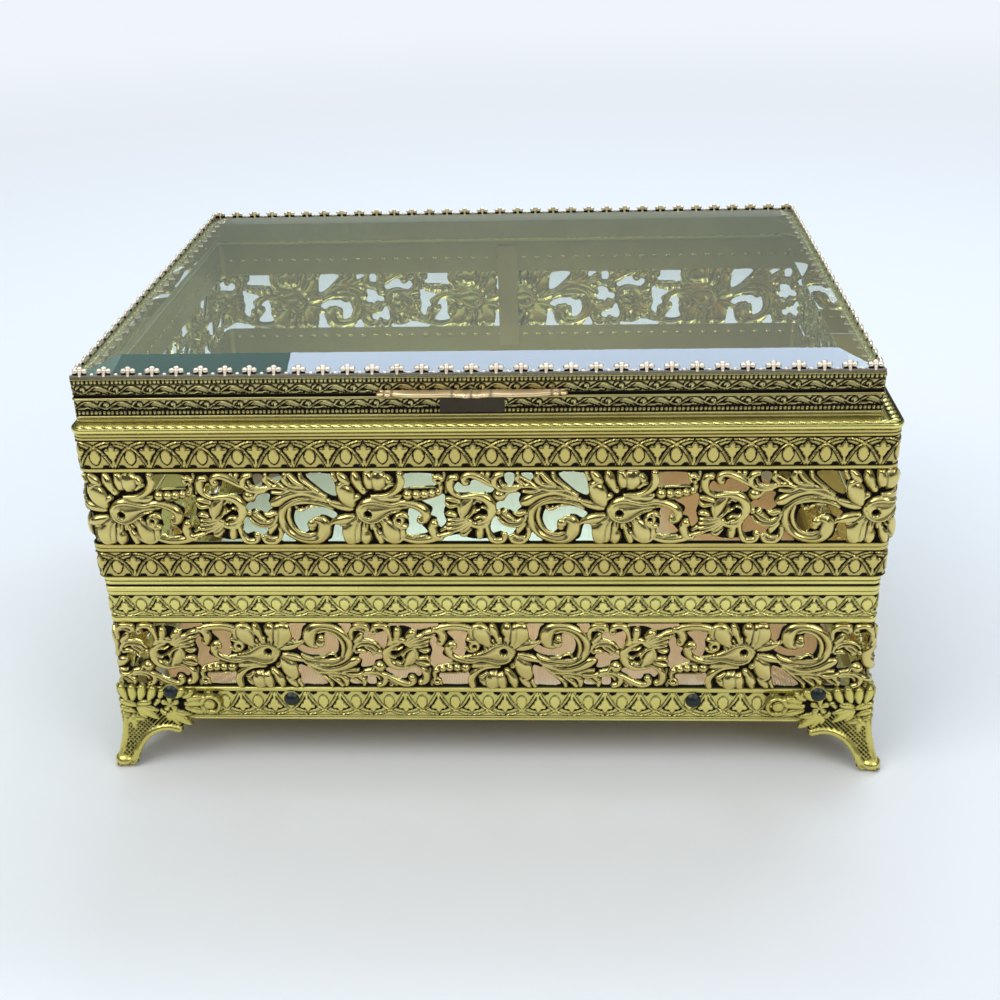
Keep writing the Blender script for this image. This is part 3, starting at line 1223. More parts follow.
class Finish(Enum):
    """The casket's finishes."""

    OPENWORK = Gilt("gilt_openwork", (0.68, 0.57, 0.21), roughness=0.13, dirt=1.35)
    BANDS = Gilt("gilt_band", (0.82, 0.74, 0.24), roughness=0.18)
    AGED = Gilt("gilt_aged", (0.62, 0.51, 0.16), roughness=0.18, dirt=1.2)
    VINE = Gilt("gilt_vine", (0.62, 0.54, 0.22), roughness=0.15, dirt=1.35, tarnish=0.35)
    GALLERY = Gilt("gilt_gallery", (1.0, 0.88, 0.72), roughness=0.3)
    FOOT = Gilt("gilt_foot", (0.70, 0.62, 0.18), roughness=0.24, dirt=1.2)
    PAN = Gilt("gilt_pan", (0.55, 0.44, 0.18), roughness=0.35)
    DARK = Gilt("dark_brass", (0.07, 0.058, 0.04), roughness=0.4)
    ROSE = Gilt("rose_gilt", (1.0, 0.76, 0.44), roughness=0.26, dirt=0.7)
    HINGE = Gilt("hinge_brass", (0.58, 0.45, 0.18), roughness=0.3)
    PIN = Gilt("hinge_pin", (0.5, 0.5, 0.48), roughness=0.25)
    RIVET = Gilt("dark_rivet", (0.05, 0.06, 0.06), roughness=0.3)
    GLASS = Glass("bevelled_glass", (0.89, 0.95, 0.90))
    SATIN = Satin("satin_lining", (0.70, 0.38, 0.17), (0.86, 0.95, 0.84))
    CARD = Matte("card", (0.45, 0.36, 0.25))
    FLOOR = Ground("floor", (0.80, 0.80, 0.80), speckle=0.02, scale=120.0)

    def material(self) -> bpy.types.Material:
        """The finish's material."""
        return self.value.material()


def fit(piece: bpy.types.Object, body: str, finish: Finish, *nodes: str) -> bpy.types.Object:
    """Carries a piece on a body and the solids that it stands for.

    Args:
        piece: The piece.
        body: The body that it moves with.
        finish: Its finish.
        nodes: The solids that it replaces.

    Returns:
        The piece.
    """
    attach(piece, body)
    if nodes:
        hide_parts(*nodes)
    return piece


# ---- the openwork strips ----


class Wall(Enum):
    """The stretches that a strip is made in; the strip's ends meet in the middle of the back."""

    FRONT = "front"
    RIGHT = "right"
    BACK_RIGHT = "back_right"
    BACK_LEFT = "back_left"
    LEFT = "left"

    def span(self, loop: Loop) -> Pair:
        """Where the stretch starts and ends along a loop, in running length.

        Args:
            loop: The loop.

        Returns:
            The two running lengths.
        """
        half = loop.lengths()[:2].sum()
        side = half + loop.lengths()[2]
        end = loop.lengths().sum() / 2
        return {Wall.FRONT: (-half, half), Wall.RIGHT: (half, side), Wall.BACK_RIGHT: (side, end),
                Wall.BACK_LEFT: (-end, -side), Wall.LEFT: (-side, -half)}[self]

    def step(self) -> float:
        """Distance between the points of its mesh."""
        return 0.29 if self is Wall.FRONT else 0.48


@dataclass(frozen=True)
class Drawings:
    """The relief drawings that the strips and mouldings share.

    Attributes:
        scroll: One repeat of the scrollwork.
        metal: How deep each of its places lies inside the metal, negative in an opening.
        palmettes: One repeat of the palmette border.
        vine: One repeat of the vine.
        beads: One bead.
        rope: One turn of the rope.
    """

    scroll: Relief
    metal: np.ndarray
    palmettes: Relief
    vine: Relief
    beads: Relief
    rope: Relief

    @staticmethod
    def draw() -> "Drawings":
        """Draws them all; the openings are traced from the strokes before these swell.

        Returns:
            The drawings.
        """
        forms = HEAD + SWAN_NECK + ROSETTE + LEAF_CURLS + PLUME
        domed = (*(form.swollen(1.25, 1.6) for form in forms),
                 *(petal.swollen(1.45, 1.7) for petal in PETALS))
        margin, border = 0.4, 0.25
        traced, scroll = (drawing(strokes, REPEAT, -margin, SCROLL_H + margin, 0.125)
                          for strokes in (forms + PETALS, domed))
        for u, h, radius in EYES:
            scroll.pit(u, h, radius)
        opening = scroll.depth_in(WINDOWS, border, SCROLL_H - border)
        palmettes = drawing(PALMETTES, PALMETTE_REPEAT, 0.0, PALMETTE_H, 0.07)
        shaded = palmettes.depth_in(PALMETTE_SHADES, 0.0, PALMETTE_H) > 0
        palmettes.inside[shaded] = np.maximum(palmettes.inside[shaded], -0.05)
        return Drawings(scroll, np.maximum(traced.inside, -opening), palmettes,
                        drawing(VINE, VINE_REPEAT, 0.0, VINE_H, 0.06),
                        drawing(BEADS, BEAD_PITCH, 0.0, BEAD_H, 0.08),
                        drawing(ROPE, ROPE_PITCH, 0.0, ROPE_H, 0.08))


@dataclass(frozen=True)
class Row:
    """A row of repeated relief on a moulding.

    Attributes:
        low: Its lower edge.
        high: Its upper edge.
        relief: The drawing that repeats along it.
        start: Running length of one repeat's start.
        turned: Whether the drawing is upside down.
        line: Width of the black line beside each form; the ground beyond it is nearly clean.
    """

    low: float
    high: float
    relief: Relief
    start: float = 0.0
    turned: bool = False
    line: float = FAR

    def read(self, s: np.ndarray, z: np.ndarray) -> tuple[np.ndarray, np.ndarray]:
        """Relief and recess at running lengths and levels; both are nought outside the row.

        Args:
            s: Running lengths.
            z: Levels.

        Returns:
            How far the relief stands out, and the recess.
        """
        tall = self.relief.low + self.relief.dh * (self.relief.rows - 1)
        share = (z - self.low) / (self.high - self.low)
        within = (share > 0) & (share < 1)
        u = (self.start - s) if self.turned else (s - self.start)
        h = tall * (1 - share if self.turned else share)
        fade, cleanest, ground_height = 0.15, 0.12, 0.2
        height = self.relief.sample(self.relief.height, u, h)
        beside = np.clip(1 + (self.relief.sample(self.relief.inside, u, h) + self.line) / fade, cleanest, 1)
        hollow = np.clip(1 - height / ground_height, 0, 1) * beside
        return np.where(within, height, 0), np.where(within, hollow, 0)


@dataclass(frozen=True)
class Moulding:
    """A section carried round a loop, with rows of relief on its outer face.

    Attributes:
        loop: The loop of its outer face.
        section: Levels and how far out the face lies there, from the lowest to the highest.
        rows: Rows of relief; inside them the section is the relief's ground.
        thickness: How far in its inner face lies.
    """

    loop: Loop
    section: tuple[Pair, ...]
    rows: tuple[Row, ...]
    thickness: float = 0.9

    @staticmethod
    def standing(low: float, loop: Loop, face: tuple[Pair, ...], *rows: Row) -> "Moulding":
        """A moulding whose section and rows are given as heights above its lower edge."""
        return Moulding(loop, tuple((low + z, out) for z, out in face),
                        tuple(replace(row, low=low + row.low, high=low + row.high) for row in rows))

    def levels(self, low: float, high: float, step: float) -> np.ndarray:
        """Levels of the mesh's rows between two levels: the section's own, and finer ones in a row.

        Args:
            low: The lower level.
            high: The upper level.
            step: Distance between rows inside the relief.

        Returns:
            The levels, rising.
        """
        own = np.array([z for z, _ in self.section])
        fine = [np.arange(row.low, row.high, step) for row in self.rows]
        every = np.unique(np.round(np.concatenate([own, *fine, [low, high]]), 3))
        return every[(every >= low) & (every <= high)]

    def loft(self, solid: Solid, s: np.ndarray, low: float, high: float, step: float, closed: bool) -> None:
        """Adds the part between two levels to a solid.

        The face is the section's offset plus the relief; the hollows of the relief and the
        section's own grooves are marked as recessed.

        Args:
            solid: The solid to add to.
            s: Running lengths of the mesh's columns.
            low: Lower level.
            high: Upper level.
            step: Distance between rows inside the relief.
            closed: Whether the moulding runs all the way round.
        """
        black_groove, inner_recess = 0.12, 0.25
        levels = self.levels(low, high, step)
        z, along = np.meshgrid(levels, s, indexing="ij")
        known = np.array(self.section)
        out = np.interp(z, known[:, 0], known[:, 1])
        recess = np.clip(-out / black_groove, 0, 1)
        for row in self.rows:
            height, hollow = row.read(along, z)
            out = out + height
            recess = np.where((z > row.low) & (z < row.high), hollow, recess)
        inner = np.array([levels[-1], levels[0]])
        z = np.vstack([z, np.repeat(inner[:, None], len(s), 1)])
        out = np.vstack([out, np.full((2, len(s)), -self.thickness)])
        recess = np.vstack([recess, np.full((2, len(s)), inner_recess)])
        solid.add_loft(self.loop.points(np.broadcast_to(s, z.shape), z, out), recess, closed)

    def ring(self, name: str, finish: Finish, step: float = 0.3) -> bpy.types.Object:
        """Makes the whole moulding as one closed ring.

        Args:
            name: Name of the piece.
            finish: Its finish.
            step: Distance between the mesh's columns.

        Returns:
            The piece.
        """
        length = self.loop.lengths().sum()
        s = np.arange(round(length / step)) * length / round(length / step)
        solid = Solid()
        self.loft(solid, s, self.section[0][0], self.section[-1][0], step * 0.8, closed=True)
        return solid.make(name, finish.material())


@dataclass(frozen=True)
class Strip:
    """A strip of stamped openwork bent round the case.

    Attributes:
        node: The solid that it stands for.
        moulding: Its plain and bordered bands.
        scroll_low: Level of the scrollwork's lower edge.
        start: Running length of the first blossom's eye.
        turned: Whether the strip is upside down.
        finish: Finish of its bands.
        knobs: Levels of the rows of small knobs that the stamping leaves on the inner face.
        ground: How far the scrollwork's ground lies inside the face.
        sheet: Thickness of the pressed sheet.
    """

    node: str
    moulding: Moulding
    scroll_low: float
    start: float
    turned: bool
    finish: Finish
    knobs: tuple[float, ...]
    ground: float = 0.45
    sheet: float = 0.5

    def title(self, kind: str, wall: Wall) -> str:
        """Name of one stretch's piece."""
        return f"{self.node.split('_')[0]}_{kind}_{wall.value}"

    def scroll(self, drawings: Drawings, wall: Wall) -> bpy.types.Object:
        """Makes one stretch of the scrollwork.

        A grid point lies at the face minus the ground plus the drawn height. Points near an
        opening's edge are moved onto it along the depth's gradient before the cells are cut.
        The back follows the front, as pressed sheet does.

        Args:
            drawings: The shared drawings.
            wall: The stretch.

        Returns:
            The piece.
        """
        first, last = wall.span(self.moulding.loop)
        s, z = np.meshgrid(np.linspace(first, last, round((last - first) / wall.step()) + 1),
                           self.scroll_low + np.linspace(0, SCROLL_H, round(SCROLL_H / wall.step()) + 1))

        def read(values: np.ndarray, at_s: np.ndarray, at_z: np.ndarray) -> np.ndarray:
            """Reads a drawing at running lengths and levels."""
            u, h = at_s - self.start, at_z - self.scroll_low
            return drawings.scroll.sample(values, *((-u, SCROLL_H - h) if self.turned else (u, h)))

        s, z, depth = moved_onto_edge(lambda a, b: read(drawings.metal, a, b), s, z, wall.step())
        height = read(drawings.scroll.height, s, z)
        out = height - self.ground
        back = np.maximum(-self.moulding.thickness, out - self.sheet)
        back_recess = np.clip(0.3 - height, 0.0, 0.2)
        solid = Solid()
        solid.add_shell(self.moulding.loop.points(s, z, out), self.moulding.loop.points(s, z, back),
                        cut_cells(depth, wall.step()), read(drawings.scroll.recess(), s, z), back_recess)
        return solid.make(self.title("scroll", wall), Finish.OPENWORK.material(), sharp=65)

    def bands(self, wall: Wall) -> bpy.types.Object:
        """Makes one stretch of the bands above and below the scrollwork.

        Args:
            wall: The stretch.

        Returns:
            The piece.
        """
        loop = self.moulding.loop
        first, last = wall.span(loop)
        s = np.linspace(first, last, round((last - first) / wall.step()) + 1)
        solid = Solid()
        lowest, highest = self.moulding.section[0][0], self.moulding.section[-1][0]
        for low, high in ((lowest, self.scroll_low), (self.scroll_low + SCROLL_H, highest)):
            self.moulding.loft(solid, s, low, high, wall.step() * 0.9, closed=False)
        size, margin = (1.1, 0.6, 0.45), 3
        for level in self.knobs:
            for middle in np.arange(first + margin, last - margin + 1, PALMETTE_REPEAT / 2):
                solid.add_ball((middle, level, -self.moulding.thickness), size, 8, 4,
                               lambda points: loop.points(*points.T))
        return solid.make(self.title("bands", wall), self.finish.material())

    def build(self, drawings: Drawings) -> None:
        """Makes every stretch and carries it on the case.

        Args:
            drawings: The shared drawings.
        """
        for wall in Wall:
            fit(self.scroll(drawings, wall), "case", Finish.OPENWORK, self.node)
            fit(self.bands(wall), "case", self.finish, self.node)


# The face that the collar and the lid's band share; it sits a little to the left
LID_FACE = Loop(206.5, 156.5, 1.2, -2.0)


@dataclass(frozen=True)
class Case:
    """The two strips, the rim, the collar and what the bottom carries.

    Attributes:
        width: Width across the upper strip.
        depth: Depth across the upper strip.
        radius: Radius of the corners.
        low: Level of the lower strip's edge.
        middle: Level where the upper strip starts.
        top: Level of the upper strip's edge.
        tuck: How far the lower strip runs up behind the upper one.
        sheet: Thickness of the strips, with the gap between them.
        lower_start: Running length of the first blossom's eye on the lower strip.
        upper_start: The same on the upper strip.
        collar_low: Level of the collar's foot.
        lid: Loop of the collar's and the lid's faces.
    """

    width: float = 212.0
    depth: float = 162.0
    radius: float = 3.0
    low: float = 14.2
    middle: float = 61.5
    top: float = 104.2
    tuck: float = 1.6
    sheet: float = 0.95
    lower_start: float = 4.0
    upper_start: float = -30.3
    collar_low: float = 105.8
    lid: Loop = LID_FACE

    def lower_strip(self, drawings: Drawings) -> Strip:
        """The lower strip, upside down.

        Args:
            drawings: The shared drawings.

        Returns:
            The strip.
        """
        loop = Loop(self.width - 2 * self.sheet, self.depth - 2 * self.sheet, self.radius - self.sheet)
        face = ((0, 0.05), (0.25, 0.3), (0.9, 0.32), (1.2, 0.05), (1.4, -0.12), (1.6, -0.16), (9.3, -0.16),
                (9.5, -0.16), (9.8, 0.12), (10.8, 0.15), (11.0, -0.1), (11.2, -0.3), (32.2, -0.4),
                (32.5, -0.1), (32.8, 0.15), (34.0, 0.18), (34.3, 0.0), (34.5, -0.16), (41.0, -0.16),
                (41.1, -0.2), (41.3, 0.02), (42.2, 0.04), (42.35, -0.2), (42.5, 0.05), (43.7, 0.12),
                (43.95, -0.2), (44.5, -0.2), (44.75, 0.08), (45.4, 0.1),
                (45.65, -0.2), (45.9, 0.12), (46.8, 0.2), (47.2, 0.0), (47.3 + self.tuck, 0.0))
        rows = (Row(1.6, 9.4, drawings.palmettes, self.lower_start - 4.7, True, 0.2),
                Row(34.5, 41.0, drawings.palmettes, self.lower_start - 5.5, True, 0.2))
        return Strip("lower_strip", Moulding.standing(self.low, loop, face, *rows), self.low + 11.2,
                     self.lower_start, True, Finish.BANDS, (self.low + 35.5,))

    def upper_strip(self, drawings: Drawings) -> Strip:
        """The upper strip.

        Args:
            drawings: The shared drawings.

        Returns:
            The strip.
        """
        face = ((0, 0.0), (0.15, 0.12), (0.3, -0.16), (7.7, -0.16), (7.9, -0.2), (8.2, 0.08), (9.0, 0.14),
                (9.2, 0.02), (9.4, 0.14), (10.1, 0.14), (10.3, -0.15), (10.5, -0.4), (31.5, -0.4),
                (31.7, -0.1), (31.9, 0.14), (32.5, 0.14), (32.7, -0.16), (40.5, -0.16), (40.7, -0.2),
                (40.95, 0.1), (41.4, 0.14), (41.6, -0.15), (41.85, 0.12), (42.3, 0.14), (42.7, 0.0))
        rows = (Row(0.35, 7.7, drawings.palmettes, self.upper_start + 5.5, False, 0.3),
                Row(32.8, 40.5, drawings.palmettes, self.upper_start + 4.7, False, 0.3))
        loop = Loop(self.width, self.depth, self.radius)
        return Strip("upper_strip", Moulding.standing(self.middle, loop, face, *rows), self.middle + 10.5,
                     self.upper_start, False, Finish.AGED, (self.middle + 7.4, self.middle + 36.5))

    def rim(self, drawings: Drawings) -> bpy.types.Object:
        """Makes the rolled rim: a rounded edge, a rope, and a ledge that runs in to the collar.

        Each point is a mix of a place on the case's loop and one on the collar's, because the
        collar sits a little to the left. The section gives that share, the distance outwards
        and the height.

        Args:
            drawings: The shared drawings.

        Returns:
            The piece.
        """
        case, collar = Loop(self.width, self.depth, self.radius), self.lid
        length = case.lengths().sum()
        turns = round(length / ROPE_PITCH)
        s = np.arange(turns * 9) * length / (turns * 9)
        edge = [(0.0, 0.1 + 0.5 * math.cos(a), 0.8 + 0.75 * math.sin(a))
                for a in np.radians(np.linspace(-80, 70, 7))]
        rope_start, rope_share = 0.06, 0.5
        rope = [(rope_start + rope_share * t, 0.0, 1.25 + 0.1 * t) for t in np.linspace(0, 1, 8)]
        rest = [(0.66, 0, 1.2), (0.72, 0, 1.42), (0.84, 0, 1.42), (0.9, 0, 1.2), (0.97, 0, 1.2),
                (1.0, -0.05, 1.58), (1.0, -1.0, 1.58), (1.0, -1.0, 0.1), (0.0, -0.8, 0.0)]
        section = np.array([(0.0, 0.0, 0.0), *edge, *rope, *rest])
        share, along = np.meshgrid(section[:, 0], s, indexing="ij")
        out = np.broadcast_to(section[:, 1:2], share.shape)
        across = np.clip((share - rope_start) / rope_share, 0, 1)
        twist = drawings.rope.sample(drawings.rope.height, along * ROPE_PITCH * turns / length,
                                     ROPE_H * across)
        within = (share >= rope_start) & (share <= rope_start + rope_share)
        z = self.top + section[:, 2:3] + np.where(within, twist, 0)
        recess = np.where(within, np.clip(1 - twist / 0.16, 0, 1), 0)
        ledge_groove, under_edge = 0.8, 0.9
        recess[(share > 0.6) & (section[:, 2:3] < 1.3)] = ledge_groove
        recess[(share == 0) & (section[:, 1:2] < 0.35)] = under_edge
        station = case.station(along)
        outer, inner = case.place(station, out), collar.place(station, out)
        x, y = (a * (1 - share) + b * share for a, b in zip(outer, inner))
        solid = Solid()
        solid.add_loft(np.stack([x, y, z], -1), recess, closed=True)
        return solid.make("rim_rope", Finish.BANDS.material())

    def collar(self, drawings: Drawings) -> bpy.types.Object:
        """Makes the collar: plain steps, beads, the vine, and a thin lip with a dark bead behind it.

        Args:
            drawings: The shared drawings.

        Returns:
            The piece.
        """
        face = ((0, 0.0), (0.3, 0.0), (0.5, -0.12), (0.7, 0.0), (1.2, 0.0), (1.4, -0.08), (1.6, 0.0),
                (2.1, 0.0), (2.3, -0.24), (2.5, -0.24), (3.6, -0.24), (3.75, -0.1), (3.9, -0.25),
                (6.4, -0.25), (6.5, 0.05), (6.65, 0.2), (6.85, 0.2), (7.05, 0.1), (7.2, -0.1),
                (7.21, -0.35), (7.45, -0.4))
        rows = (Row(2.45, 3.6, drawings.beads), Row(3.9, 6.4, drawings.vine, 2.0, line=0.3))
        return Moulding.standing(self.collar_low, self.lid, face, *rows).ring("collar_vine", Finish.VINE)

    def build(self, drawings: Drawings) -> None:
        """Makes the case's own pieces.

        Args:
            drawings: The shared drawings.
        """
        self.lower_strip(drawings).build(drawings)
        self.upper_strip(drawings).build(drawings)
        fit(self.rim(drawings), "case", Finish.BANDS, "rim_moulding")
        fit(self.collar(drawings), "case", Finish.VINE, "collar")


@dataclass(frozen=True)
class Lining:
    """The padded satin on the bottom.

    Attributes:
        width: Its width.
        depth: Its depth.
        low: Level of its underside.
        thickness: Its thickness at the crown.
    """

    width: float = 203.5
    depth: float = 153.5
    low: float = 17.3
    thickness: float = 4.4

    def build(self) -> None:
        """Makes a crowned pad whose sides pull in between its corners.

        The outline at angle a is the superellipse |cos a|^0.28, |sin a|^0.28 with each side
        drawn in by up to 1.2 mm at its middle. The height falls from the crown to the seam as
        (1 - share^5)^0.5, with shallow puckers that fan out near the seam.
        """
        a = np.linspace(0, 2 * math.pi, 360, endpoint=False)
        turn, reach = np.meshgrid(a, np.sin(np.linspace(0, math.pi / 2, 40)))
        pull = 1 - 0.012 * np.cos(2 * turn)**2
        x, y = (size / 2 * np.sign(way) * np.abs(way)**0.28 * reach * pull
                for size, way in ((self.width, np.cos(turn)), (self.depth, np.sin(turn))))
        dome = np.sqrt(np.maximum(1 - reach**5, 0))
        pucker = 0.18 * np.sin(turn * 64) * np.clip((reach - 0.8) / 0.2, 0, 1) * dome
        seam = 0.35 * self.thickness
        top = self.low + seam + (self.thickness - seam) * dome * (0.86 + 0.14 * (1 - reach**2)) + pucker
        bottom = self.low + seam * (1 - np.sqrt(np.maximum(1 - reach**8, 0)))
        upper, lower = (np.stack([x, y, z], -1) for z in (top, bottom))
        rings = np.concatenate([lower[1:-1], upper[:0:-1]])
        poles = [[0, 0, bottom[0, 0]], [0, 0, top[0, 0]]]
        solid = Solid()
        solid.add_skin(np.vstack([rings.reshape(-1, 3), poles]), len(a))
        piece = solid.make("satin_pad", Finish.SATIN.material(), sharp=180)
        fit(piece, "case", Finish.SATIN, "lining_pad")


# ---- the lid ----


@dataclass(frozen=True)
class Crown:
    """One crown of the gallery: four lobes round a boss, on a stem between two dark leaves.

    Attributes:
        lobes: Across, up, half width and half height of each lobe.
        middle: How far behind the strip's face its middle lies.
        depth: Half its thickness.
        leaf: Outline of the dark leaves: across and up.
    """

    lobes: tuple[tuple[float, float, float, float], ...] = (
        (0.0, 2.3, 0.9, 0.72), (-1.2, 1.75, 0.85, 0.72), (1.2, 1.75, 0.85, 0.72), (0.0, 1.1, 0.6, 0.6),
        (0.0, 0.5, 0.55, 0.35))
    middle: float = -0.35
    depth: float = 0.5
    leaf: tuple[Pair, ...] = ((-1.5, 0.4), (-1.75, 1.0), (-0.9, 1.45), (0.9, 1.45), (1.75, 1.0), (1.5, 0.4))

    def add(self, solid: Solid, x: float, place: Callable) -> None:
        """Adds the crown at a place along its strip; place turns strip places into real ones.

        Args:
            solid: The strip's solid.
            x: The crown's place along the strip.
            place: Turns places on the strip into real ones.
        """
        for across, up, wide, tall in self.lobes:
            solid.add_ball((x + across, up, self.middle), (wide, tall, self.depth), 8, 4, place)
        solid.add_ball((x, 1.75, self.middle), (0.8, 0.7, self.depth + 0.2), 8, 4, place)
        outline = np.array(self.leaf) + (x, 0)
        count = len(outline)
        behind, front = (np.column_stack([outline, np.full(count, depth)]) for depth in (-0.68, -0.12))
        index = np.arange(count)
        after = np.roll(index, -1)
        sides = np.stack([index, index + count, after + count, after], -1)
        solid.add(place(np.vstack([behind, front])), [sides, index[None], index[::-1][None] + count], 1.0)


@dataclass(frozen=True)
class Lid:
    """The hinged lid: a vine band, a gallery of crowns, a bevelled pane and a thumb lift.

    Attributes:
        loop: Loop of the band's face.
        low: Level of the band's lower edge.
        seat: Level that the gallery's foot stands at.
        pitch: Distance from crown to crown.
        margin: From a strip's end to its first crown.
        inset: How far in from the band's face the gallery stands.
        side_room: How far the side strips stop short of the front and back ones.
        lean: How far the crowns lean in, in degrees.
    """

    loop: Loop = LID_FACE
    low: float = 113.3
    seat: float = 118.412
    pitch: float = 6.18
    margin: float = 2.6
    inset: float = 0.3
    side_room: float = 1.4
    lean: float = 22.0

    def band(self, drawings: Drawings) -> bpy.types.Object:
        """Makes the side band: a lip, the vine, and a row of beads.

        Args:
            drawings: The shared drawings.

        Returns:
            The piece.
        """
        face = ((0, -0.3), (0.5, -0.3), (0.56, 0.0), (0.62, -0.25), (3.1, -0.25), (3.3, -0.05),
                (3.45, -0.22), (4.6, -0.22), (4.65, 0.0), (4.8, 0.0))
        rows = (Row(0.6, 3.1, drawings.vine, 5.2, line=0.3), Row(3.42, 4.62, drawings.beads))
        return Moulding.standing(self.low, self.loop, face, *rows).ring("lid_vine_band", Finish.VINE)

    def gallery(self, name: str, turn: float, length: float, out: float) -> bpy.types.Object:
        """Makes one strip of the gallery: a round rail, crowns, and beads between them.

        A strip place (along, up, proud) is leaned in by the lean, stood on the band's top and
        turned to its side of the lid.

        Args:
            name: The side that it is on.
            turn: Turn of that side from the front, in degrees.
            length: Length of the strip.
            out: How far the strip stands from the lid's middle.

        Returns:
            The piece.
        """
        lean, spin = math.radians(self.lean), math.radians(turn)

        def place(points: np.ndarray) -> np.ndarray:
            """Turns strip places into real ones.

            Args:
                points: Places along, up and proud of the strip.

            Returns:
                The real places.
            """
            along, up, proud = points[..., 0], points[..., 1], points[..., 2]
            away = out + proud * math.cos(lean) - up * math.sin(lean)
            return np.stack([along * math.cos(spin) + away * math.sin(spin) + self.loop.shift,
                             along * math.sin(spin) - away * math.cos(spin),
                             self.seat + up * math.cos(lean) + proud * math.sin(lean)], -1)

        room = length - 2 * self.margin
        count = round(room / self.pitch) + 1
        step = room / (count - 1)
        solid = Solid()
        tall, deep, sides, pieces = 0.4, 0.35, 12, 60
        turns = np.linspace(-math.pi / 2, 1.5 * math.pi, sides, endpoint=False)[:, None]
        rail = np.broadcast_arrays(np.linspace(-length / 2, length / 2, pieces), tall + tall * np.sin(turns),
                                   deep * np.cos(turns) - deep)
        solid.add_loft(place(np.stack(rail, -1)), 0.75)
        for i in range(count):
            Crown().add(solid, i * step - room / 2, place)
        for i in range(1, count):
            solid.add_ball(((i - 0.5) * step - room / 2, 0.75, -deep), (0.6, 0.55, 0.34), 8, 4, place)
        return solid.make(f"crowns_{name}", Finish.GALLERY.material(), sharp=75)

    def thumb_lift(self) -> bpy.types.Object:
        """Makes the bow-shaped lift: two reeded wings, a curled tip on each and two knobs.

        The section at x is a rounded edge at the outline's reach, then a top with three reeds
        that run along it, each a cosine wave deep; the outline swells and narrows towards the tips.

        Returns:
            The piece.
        """
        half, reach, tall, foot = 24.25, 3.6, 1.1, self.low + 0.15
        nose, reed_depth = 0.5, 0.16
        shares = np.array([(0, 0.88), (0.06, 1.0), (0.12, 0.86), (0.23, 0.72), (0.42, 0.84), (0.63, 0.8),
                           (0.84, 0.52), (0.95, 0.4), (1.0, 0.2)])
        x = np.linspace(-half + 0.9, half - 0.9, 180)
        out = reach * np.interp(np.abs(x) / half, shares[:, 0], shares[:, 1]) - nose
        edge = np.radians(np.linspace(-90, 90, 9))[:, None]
        across = np.linspace(0, 1, 19)[1:, None]
        reeds = 0.5 - 0.5 * np.cos(6 * math.pi * across)
        front = -self.loop.depth / 2 - 0.05
        y = np.vstack([-out - nose * np.cos(edge), -out * (1 - across), 0 * x])
        z = np.vstack([tall / 2 + tall / 2 * np.sin(edge), tall - reed_depth * reeds, [[0]]])
        points = np.stack(np.broadcast_arrays(x + self.loop.shift, y + front, z + foot), -1)
        near_knobs = sum(np.exp(-((np.abs(x) - place) / 0.4)**2) for place in (0.0, 4.9, 20.2, 22.2))
        solid = Solid()
        solid.add_loft(points, np.clip(np.vstack([0 * edge, 0.5 * reeds, [[0.3]]]) + near_knobs, 0, 1))
        for side in (-1, 1):
            for along, away, wide, deep in ((half - 1.05, 1.1, 1.05, 1.0), (half - 3.0, 1.75, 0.95, 0.75),
                                            (1.5, 2.75, 1.25, 0.85), (3.6, 2.6, 0.8, 0.6)):
                middle = (side * along + self.loop.shift, front - away, foot + tall / 2)
                solid.add_ball(middle, (wide, deep, 0.54), 20, 10)
        return solid.make("thumb_bow", Finish.ROSE.material(), sharp=75)

    def build(self, drawings: Drawings) -> None:
        """Makes the lid's pieces.

        Args:
            drawings: The shared drawings.
        """
        fit(self.band(drawings), "lid", Finish.VINE, "lid_band")
        long_side = self.loop.width - 2 * self.inset
        short_side = self.loop.depth - 2 * (self.inset + self.side_room)
        far, near = self.loop.width / 2 - self.inset, self.loop.depth / 2 - self.inset
        for name, turn, length, out in (("front", 0, long_side, near), ("right", 90, short_side, far),
                                        ("back", 180, long_side, near), ("left", 270, short_side, far)):
            fit(self.gallery(name, turn, length, out), "lid", Finish.GALLERY, f"gallery_{name}")
        fit(self.thumb_lift(), "lid", Finish.ROSE, "thumb_lift")


# ---- the feet ----

# The leg's inner edge, and the outline of its ground: distance from the corner, and height
# above the case's lower edge
LEG = ((-6, 1), (-6, -12.7), (2.9, -12.7), (3.1, -12.2), (3.7, -11.2), (5.5, -7.9), (7.8, -5.2),
       (10.4, -3.5), (13.2, -2.9), (16.8, -3.5), (17.3, -2.6), (17, -0.8), (12, 1))
GROUND = ((-6, -1.5), (-6, 11), (8, 10.4), (16, 9), (25, 8), (25, 3), (19, 1.8), (15, -1.5))


def flower(a: float, z: float, size: float, petals: int, turn: float = 0.0) -> tuple[Stroke, ...]:
    """Strokes of a flower: round petals about a raised eye.

    Args:
        a: Distance of its eye from the corner.
        z: Height of its eye.
        size: Distance from the eye to the petals' middles.
        petals: Number of petals.
        turn: Turn of the first petal, in degrees.

    Returns:
        The strokes.
    """
    spread = np.radians(turn + np.arange(petals) * 360 / petals)
    wide = size * math.sin(math.pi / petals) * 0.92
    leaves = tuple(Stroke(((a + 0.45 * size * math.cos(t), z + 0.45 * size * math.sin(t)),
                           (a + 1.25 * size * math.cos(t), z + 1.25 * size * math.sin(t))),
                          (0.5 * wide, wide), 0.55, 0.55, 1) for t in spread)
    return leaves + (knob(a, z, 0.42 * size, 0.95, 0.5),)


